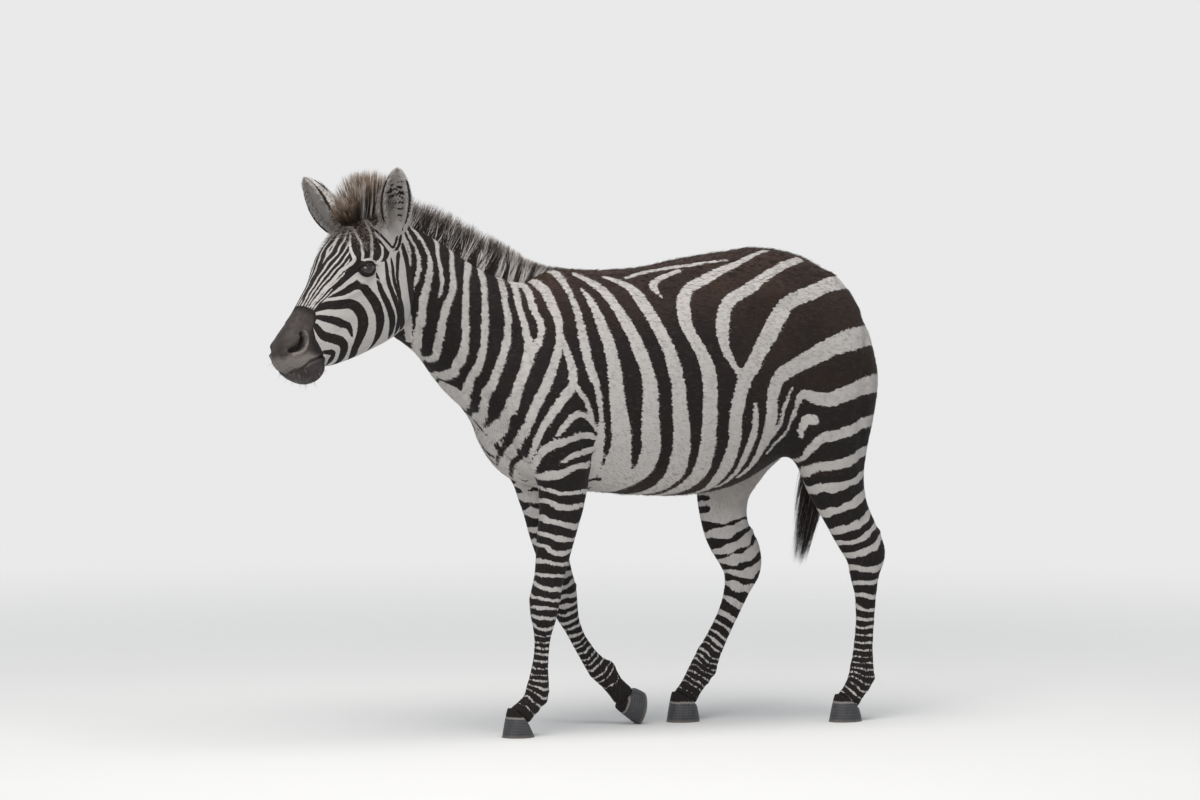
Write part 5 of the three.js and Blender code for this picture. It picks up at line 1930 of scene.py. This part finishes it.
class OBJECT_OT_zebra_tail(bpy.types.Operator):
    """Hangs the long dark hair of the tail, which starts down the dock and ends in wisps"""

    bl_idname = "object.zebra_tail"
    bl_label = "Build the tail tuft"

    def execute(self, context):
        random = np.random.default_rng(SEEDS["tail"])
        count = fewer(2600)
        wisps = 34
        wisp = random.integers(0, wisps, count)
        wisp_end = (0.8 + 4.2 * random.beta(1.3, 1.3, wisps))[wisp]
        wisp_angle = random.uniform(0, 2 * np.pi, wisps)[wisp]
        wisp_wide = random.uniform(0.2, 1.15, wisps)[wisp]
        root_u = random.uniform(2.6, 5.0, count)
        values, _, side, above = ring_frames(DOCK_ROWS, root_u, ACROSS_BODY)
        angle = wisp_angle + random.normal(0, 0.7, count)
        around = np.cos(angle)[:, None] * side + np.sin(angle)[:, None] * above
        root = values[:, :3] + around * 0.012
        end_u = np.clip(wisp_end + random.normal(0, 0.3, count), 1.0, 5.0)
        ends, _, end_side, end_above = ring_frames(stations_of(TAIL_TUFT), end_u, ACROSS_BODY)
        wide = wisp_wide + random.normal(0, 0.1, count)
        tip = ends[:, :3] + (np.cos(wisp_angle) * wide * np.maximum(ends[:, 3], 0.012))[:, None] * end_side
        tip = tip + (np.sin(wisp_angle) * wide * np.maximum(ends[:, 4], 0.014))[:, None] * end_above
        tip = tip + random.normal(0, 0.004, (count, 3))
        bow = around * 0.012 + np.array([-0.012, 0.004, 0.0]) + random.normal(0, 0.005, (count, 3))
        marking = 2.0 - 4.5 * (random.random(count) < 0.05) * (root_u < 4)
        looks = hair_values(marking, 0.35 * random.random(count), 0.3 * random.random(count))
        place = 0.05 + 0.9 * np.stack([(angle % (2 * np.pi)) / (2 * np.pi), (root_u - 2.6) / 2.4], 1)
        width = 0.0008 + 0.0005 * random.random(count)
        hair_piece("tail_tuft_hair", context.scene.zebra_coat, (root, tip, bow),
                   ("tail_hair", (0.07, 0.045, 0.03), (0.5, 1.0)), width, 0.6, 6, place, looks,
                   ["tail_tuft"])
        return {"FINISHED"}


class OBJECT_OT_zebra_ear_hair(bpy.types.Operator):
    """Fills the ears with pale hair that lies across them from their open edges"""

    bl_idname = "object.zebra_ear_hair"
    bl_label = "Build the ear hair"

    def execute(self, context):
        hair, places, marks = [], [], []
        random = np.random.default_rng(SEEDS["ear_hair"])
        count = 1500
        for number, side in enumerate(EARS):
            root, up, front, across = ear_axes(side)
            t = random.uniform(0.08, 0.93, count)
            swing = random.choice([-1.0, 1.0], count) * random.uniform(0.55, 0.97, count)
            angle = swing * ear_half(t)
            outward = np.sin(angle)[:, None] * across - np.cos(angle)[:, None] * front
            centre = root + up * (EAR_LENGTH * t)[:, None] + front * ear_bow(t)[:, None]
            wall = centre + outward * (ear_radius(t) - 0.0055)[:, None]
            inward = unit(-outward + up * random.uniform(0.2, 2.4, count)[:, None] + front * 0.25)
            length = random.uniform(0.25, 0.95, count) * np.minimum(ear_radius(t), 0.024)
            hair.append((wall, wall + inward * length[:, None], front * (0.18 * length)[:, None]))
            places.append(np.stack([0.05 + 0.4 * (swing + 1) / 2 + 0.5 * number, 0.05 + 0.9 * t], 1))
            marks.append(np.where(random.random(count) < 0.1, 0.5, -1.5))
        hair_piece("ear_hair", context.scene.zebra_coat, joined(hair),
                   ("ear_hair", (0.5, 0.45, 0.4), (0.6, 1.0)), np.full(2 * count, 0.0006), 0.5, 3,
                   np.concatenate(places), hair_values(np.concatenate(marks), 0.3, 0.0))
        return {"FINISHED"}


def eye_mesh(sign):
    """A ball whose pole looks out: rings of equal angle, with the clear front raised by a millimetre."""
    centre, look, long_way, short_way = eye_axes(sign)
    polar = np.linspace(0.02, np.pi - 0.02, 40)
    around = np.linspace(0, 2 * np.pi, 56, endpoint=False)
    swell = EYE_RADIUS - 0.0004 + 0.0008 * bump_of(polar, 0.7)
    ring = np.cos(around)[:, None] * long_way + np.sin(around)[:, None] * short_way
    ahead, aside = (np.cos(polar) * swell)[:, None, None], (np.sin(polar) * swell)[:, None, None]
    rings = ahead * look + aside * ring[None]
    points, faces = rings_mesh(centre + rings)
    mesh = facing_outwards(mesh_from("eye", points, faces))
    across, up = (points - centre) @ long_way * 1000, (points - centre) @ short_way * 1000
    set_attribute(mesh, "off_axis", np.hypot(across, up))
    set_attribute(mesh, "pupil", np.hypot(across / 1.5, up))
    return smooth_shaded(mesh)


def eye_material():
    """A wet dark eye: black long pupil, deep brown iris with fine spokes, darker rim."""
    material, nodes, shader = new_material("wet_eye")
    spokes = nodes.noise(nodes.place(), 500.0)
    iris = nodes.mix(spokes, rgb((0.012, 0.007, 0.005)), rgb((0.028, 0.016, 0.01)))
    iris = nodes.mix(nodes.step(nodes.attribute("off_axis"), 12.0, 14.5), iris, rgb((0.006, 0.004, 0.004)))
    off_pupil = nodes.step(nodes.attribute("pupil"), 5.0, 6.0)
    nodes.fill(shader, {
        "Base Color": nodes.mix(off_pupil, rgb((0.003, 0.003, 0.004)), iris),
        "Roughness": 0.15,
        "Specular IOR Level": 0.3,
        "Coat Weight": 0.6,
        "Coat Roughness": 0.03,
    })
    return material


class OBJECT_OT_zebra_eyes(bpy.types.Operator):
    """Sets the two wet dark eyes and their lashes"""

    bl_idname = "object.zebra_eyes"
    bl_label = "Build the eyes"

    def execute(self, context):
        material = eye_material()
        for sign, side in ((-1, "left"), (1, "right")):
            finish_piece("eyeball_" + side, eye_mesh(sign), material, ["eye_" + side])
        hair = []
        random = np.random.default_rng(SEEDS["lashes"])
        many = 44
        for sign in (-1, 1):
            centre, look, long_way, short_way = eye_axes(sign)
            across = np.linspace(-0.017, 0.015, many) + random.normal(0, 0.0003, many)
            up = UPPER_LID * (1 - (across / LID_HALF) ** 2) + 0.0004
            out = np.sqrt(np.maximum(EYE_RADIUS**2 - across**2 - up**2, 0)) + 0.0022
            root = centre + across[:, None] * long_way + up[:, None] * short_way + out[:, None] * look
            sweep = look * 0.75 + short_way * 0.15 - np.array([0, 0, 0.35])
            way = unit(sweep + (across / 0.03)[:, None] * long_way + random.normal(0, 0.08, (many, 3)))
            tip = root + way * random.uniform(0.010, 0.016, many)[:, None]
            hair.append((root, tip, np.tile([0, 0, 0.002], (many, 1))))
        place = np.stack([np.linspace(0.05, 0.95, 2 * many), np.full(2 * many, 0.5)], 1)
        hair_piece("lashes", context.scene.zebra_coat, joined(hair),
                   ("lash_hair", (0.02, 0.015, 0.012), (0.5, 1.0)), np.full(2 * many, 0.0006), 0.8, 4, place,
                   hair_values(np.full(2 * many, 2.0), 0.0, 0.0))
        return {"FINISHED"}


class OBJECT_OT_zebra_whiskers(bpy.types.Operator):
    """Sets sparse stiff whiskers on the lips and chin"""

    bl_idname = "object.zebra_whiskers"
    bl_label = "Build the whiskers"

    def execute(self, context):
        skin = bpy.data.objects["skin"].data
        points, normals = read_points(skin), read_normals(skin)
        chart = face_chart(points)
        along, height = chart.T
        above = face_axes(points)[:, 2]
        lips = (along > 0.345) & (height < -0.05) & (height > -0.25) & (above < 0) & (along < 0.44)
        chosen = np.nonzero(lips & (path_distance(chart, MOUTH) > 0.008))[0]
        random = np.random.default_rng(SEEDS["whiskers"])
        count = 150
        picked = random.choice(chosen, count, replace=False)
        way = unit(normals[picked] + 0.35 * random.normal(size=(count, 3)) + np.array([-0.1, 0, -0.35]))
        length = random.uniform(0.008, 0.026, count)
        root = points[picked] - normals[picked] * 0.001
        hair = (root, root + way * length[:, None], np.tile([0.0, 0.0, 0.0015], (count, 1)))
        looks = hair_values(np.where(random.random(count) < 0.8, 1.0, -1.0), 0.5, 0.0)
        place = 0.05 + 0.9 * np.stack([(along[picked] - 0.34) / 0.1, (height[picked] + 0.25) / 0.2], 1)
        hair_piece("whiskers", context.scene.zebra_coat, hair,
                   ("whisker_hair", (0.1, 0.08, 0.06), (0.5, 1.0)), np.full(count, 0.00028), 1.0, 3, place,
                   looks)
        return {"FINISHED"}


def sole_ring(centre, toe, half, sides):
    """An oval on the sole's plane, shorter and a little narrower behind its middle."""
    angle = np.linspace(0, 2 * np.pi, sides, endpoint=False)
    sin = np.sin(angle)
    reach = half[1] * np.cos(angle) * np.where(sin < 0, 1 + 0.12 * sin, 1)
    length = half[0] * np.where(sin < 0, sin * 0.82, sin)
    return centre + reach[:, None] * ACROSS_BODY + length[:, None] * toe


def hoof_mesh(rows, centre, toe, half):
    """Rings from inside the leg, over the soft rim, down the horn's faintly ringed wall to the sole, then
    in over the sole to its middle, which is hollowed by a few millimetres behind a raised frog."""
    rows = stations_of(rows)
    sides, wall_rings = 72, 30
    centre = (np.array(centre, float) - BODY_CENTRE) * 0.001
    toe = unit(np.array(toe, float))
    last = np.array([float(len(rows) - 1)])
    top = loft_rings(rows, last, sides, ACROSS_BODY, None, 0.0005)[0]
    rim = loft_rings(rows, last, sides, ACROSS_BODY, None, -0.0018)[0]
    sole = sole_ring(centre, toe, np.array(half) * 0.001, sides)
    inward = np.cross(toe, ACROSS_BODY)
    inward = inward * np.sign(inward @ (top.mean(0) - centre))
    rings = [top + inward * 0.0036 + (top.mean(0) - top) * 0.12, top]
    for share in np.arange(wall_rings + 1) / wall_rings:
        ring = rim * (1 - share) + sole * share
        wave = 0.00012 * math.sin(share * 38) + 0.0009 * math.sin(math.pi * share)
        start = -0.0012 * max(0, 1 - share * 12)
        rings.append(ring + unit(ring - ring.mean(0)) * (wave + start) * (1 - share**8))
    angle = np.linspace(0, 2 * np.pi, sides, endpoint=False)
    frog = np.exp(-((angle - 1.5 * np.pi) / 0.35) ** 2) * 0.002
    for share, lift in ((0.96, 0.0), (0.9, 0.002), (0.7, 0.004), (0.4, 0.0045), (0.15, 0.004)):
        ring = centre + (sole - centre) * share
        rings.append(ring + inward * (lift - frog * (share < 0.9))[:, None])
    points, faces = rings_mesh(np.array(rings))
    points[:, 2] = np.maximum(points[:, 2], 0.0)
    mesh = facing_outwards(mesh_from("hoof", points, faces))
    set_attribute(mesh, "height", (points - centre) @ inward * 100)
    return smooth_shaded(mesh)


def horn_material(coat):
    """Slate horn: faint rings round it, fine grain down it, a pale line under the dark hair that hangs over
    its top, and a scuffed lower edge. Heights are in centimetres above the sole."""
    material, nodes, shader = new_material("horn")
    height = nodes.attribute("height")
    place = nodes.place()
    grain = nodes.noise(nodes.mapped(place, (1.0, 1.0, 0.12)), 260.0)
    blotch = nodes.noise(place, 45.0)
    uneven = nodes.math("ADD", height, nodes.math("MULTIPLY", blotch, 0.5))
    wave = nodes.math("SINE", nodes.math("MULTIPLY", uneven, 9.0))
    ragged = nodes.math("ADD", height, nodes.math("MULTIPLY", grain, 0.7))
    colour = nodes.mix(blotch, rgb((0.026, 0.028, 0.034)), rgb((0.07, 0.07, 0.074)))
    for share, over in (
        (nodes.fading(wave, -0.2, 1.0, 0.22), rgb((0.12, 0.115, 0.112))),
        (nodes.fading(grain, 0.5, 0.8, 0.3), rgb((0.15, 0.142, 0.135))),
        (nodes.fading(ragged, 5.0, 5.35, 0.8), rgb((0.26, 0.24, 0.22))),
        (nodes.step(ragged, 5.45, 5.8), rgb(coat.black)),
        (nodes.fading(height, 0.9, 0.1, 0.5), rgb((0.22, 0.19, 0.155))),
    ):
        colour = nodes.mix(share, colour, over)
    nodes.fill(shader, {
        "Base Color": colour,
        "Normal": nodes.bump(0.3, 0.0008, nodes.math("ADD", grain, nodes.math("MULTIPLY", wave, 0.3))),
        "Roughness": nodes.between(nodes.step(ragged, 5.3, 5.8), 0.5, 0.9),
        "Specular IOR Level": 0.25,
    })
    return material


class OBJECT_OT_zebra_hooves(bpy.types.Operator):
    """Builds the four horn hooves"""

    bl_idname = "object.zebra_hooves"
    bl_label = "Build the hooves"

    def execute(self, context):
        material = horn_material(context.scene.zebra_coat)
        for node, hoof in HOOVES.items():
            finish_piece(node.replace("hoof", "horn"), hoof_mesh(*hoof), material, [node])
        return {"FINISHED"}


# ---- Stage -----------------------------------------------------------------------------------------------

VIEW_TURN = math.radians(-25)
VIEW_RISE = math.radians(4.5)
VIEW_DISTANCE = 30.0
VIEW_WIDTH = 3.025  # metres across the picture at the figure
NEAR_FOREFOOT = np.array([-0.1529, -0.0723, 0.0])
VIEW_OFFSET = (0.2067, 0.8495)  # from the near forefoot to the picture's middle, rightwards and upwards


def floor_material(settings):
    """A pale studio floor, nearly white to the camera, that still takes the figure's shadow."""
    material, nodes, shader = new_material("studio_floor")
    place = nodes.place()
    reach = nodes.add("ShaderNodeVectorMath", {0: place}, operation="LENGTH").outputs["Value"]
    soft = rgb([0.97 * value for value in settings.floor])
    nodes.fill(shader, {
        "Base Color": nodes.mix(nodes.noise(place, 1.2), soft, rgb(settings.floor)),
        "Alpha": nodes.math("SUBTRACT", 1.0, nodes.step(reach, 1.2, 5.0)),
        "Roughness": 0.9,
        "Specular IOR Level": 0.1,
    })
    return material


class OBJECT_OT_zebra_stage(bpy.types.Operator):
    """Sets the pale floor and backdrop, the soft lamps and the camera"""

    bl_idname = "object.zebra_stage"
    bl_label = "Build the stage"

    def execute(self, context):
        scene = context.scene
        settings = scene.zebra_stage
        span = 6.0
        corners = [(-span, -span, 0), (span, -span, 0), (span, span, 0), (-span, span, 0)]
        floor = new_object("studio_floor", mesh_from("studio_floor", corners, [[0, 1, 2, 3]]))
        floor.data.materials.append(floor_material(settings))
        self.world(scene)
        self.lamp("top_lamp", (-0.6, -1.6, 6.0), (0.0, 0.0, 0.6), 4.5, settings.key, (1.0, 0.97, 0.935))
        self.lamp("fill_lamp", (-5.6, -7.0, 3.2), (0.0, 0.0, 0.7), 3.6, settings.fill, (1.0, 0.985, 0.97))
        self.camera(scene)
        scene.view_settings.view_transform = "Standard"
        return {"FINISHED"}

    def world(self, scene):
        """A backdrop that is white to the camera and in reflections, and cooler and dimmer as a light."""
        scene.world = bpy.data.worlds.new("studio")
        scene.world.use_nodes = True
        nodes = Nodes(scene.world.node_tree)
        path = nodes.add("ShaderNodeLightPath")
        seen = nodes.math("MAXIMUM", path.outputs["Is Camera Ray"], path.outputs["Is Glossy Ray"])
        nodes.fill(nodes.tree.nodes["Background"], {
            "Color": nodes.mix(seen, rgb((0.86, 0.93, 1.0)), rgb((1.0, 1.0, 1.0))),
            "Strength": nodes.between(seen, 0.38, 0.82),
        })

    def camera(self, scene):
        """A distant camera, turned round the figure and a little above it."""
        turn, rise = VIEW_TURN, VIEW_RISE
        back = np.array([math.sin(turn) * math.cos(rise), -math.cos(turn) * math.cos(rise), math.sin(rise)])
        right = np.array([math.cos(turn), math.sin(turn), 0.0])
        target = NEAR_FOREFOOT + right * VIEW_OFFSET[0] + np.cross(back, right) * VIEW_OFFSET[1]
        data = bpy.data.cameras.new("camera")
        data.sensor_width = 36.0
        data.lens = 36.0 * VIEW_DISTANCE / VIEW_WIDTH
        data.clip_end = 200.0
        scene.camera = new_object("camera", data)
        scene.camera.location = target + back * VIEW_DISTANCE
        scene.camera.rotation_euler = (math.pi / 2 - rise, 0.0, turn)

    def lamp(self, name, place, aim, size, power, colour):
        """A square area lamp that looks at a point."""
        data = bpy.data.lights.new(name, "AREA")
        data.size = size
        data.energy = power
        data.color = colour
        lamp = new_object(name, data)
        lamp.location = place
        lamp.rotation_euler = (Vector(aim) - Vector(place)).to_track_quat("-Z", "Y").to_euler()


# ---- Add-on ----------------------------------------------------------------------------------------------


class VIEW3D_PT_zebra(bpy.types.Panel):
    """Lists the zebra's settings and the steps that build it"""

    bl_label = "Zebra"
    bl_space_type = "VIEW_3D"
    bl_region_type = "UI"
    bl_category = "Zebra"

    def draw(self, context):
        for group in (context.scene.zebra_body, context.scene.zebra_coat, context.scene.zebra_stage):
            for name in group.bl_rna.properties.keys():
                if name not in ("rna_type", "name"):
                    self.layout.prop(group, name)
        for operator in OPERATORS:
            self.layout.operator(operator.bl_idname)


OPERATORS = (
    OBJECT_OT_zebra_stage,
    OBJECT_OT_zebra_skin,
    OBJECT_OT_zebra_coat,
    OBJECT_OT_zebra_mane,
    OBJECT_OT_zebra_brow,
    OBJECT_OT_zebra_tail,
    OBJECT_OT_zebra_ear_hair,
    OBJECT_OT_zebra_eyes,
    OBJECT_OT_zebra_whiskers,
    OBJECT_OT_zebra_hooves,
)
SETTINGS = {"zebra_body": ZebraBody, "zebra_coat": ZebraCoat, "zebra_stage": ZebraStage}


def register():
    """Registers the settings, the steps and the panel."""
    for group in SETTINGS.values():
        bpy.utils.register_class(group)
    for operator in OPERATORS + (VIEW3D_PT_zebra,):
        bpy.utils.register_class(operator)
    for name, group in SETTINGS.items():
        setattr(bpy.types.Scene, name, bpy.props.PointerProperty(type=group))


def unregister():
    """Takes back what register did, in the opposite order."""
    for name in SETTINGS:
        delattr(bpy.types.Scene, name)
    for operator in reversed(OPERATORS + (VIEW3D_PT_zebra,)):
        bpy.utils.unregister_class(operator)
    for group in reversed(list(SETTINGS.values())):
        bpy.utils.unregister_class(group)


def main():
    """Registers the add-on and builds every piece in order."""
    register()
    for operator in OPERATORS:
        group, name = operator.bl_idname.split(".")
        getattr(getattr(bpy.ops, group), name)()
    bpy.context.view_layer.update()


if __name__ == "__main__":
    main()
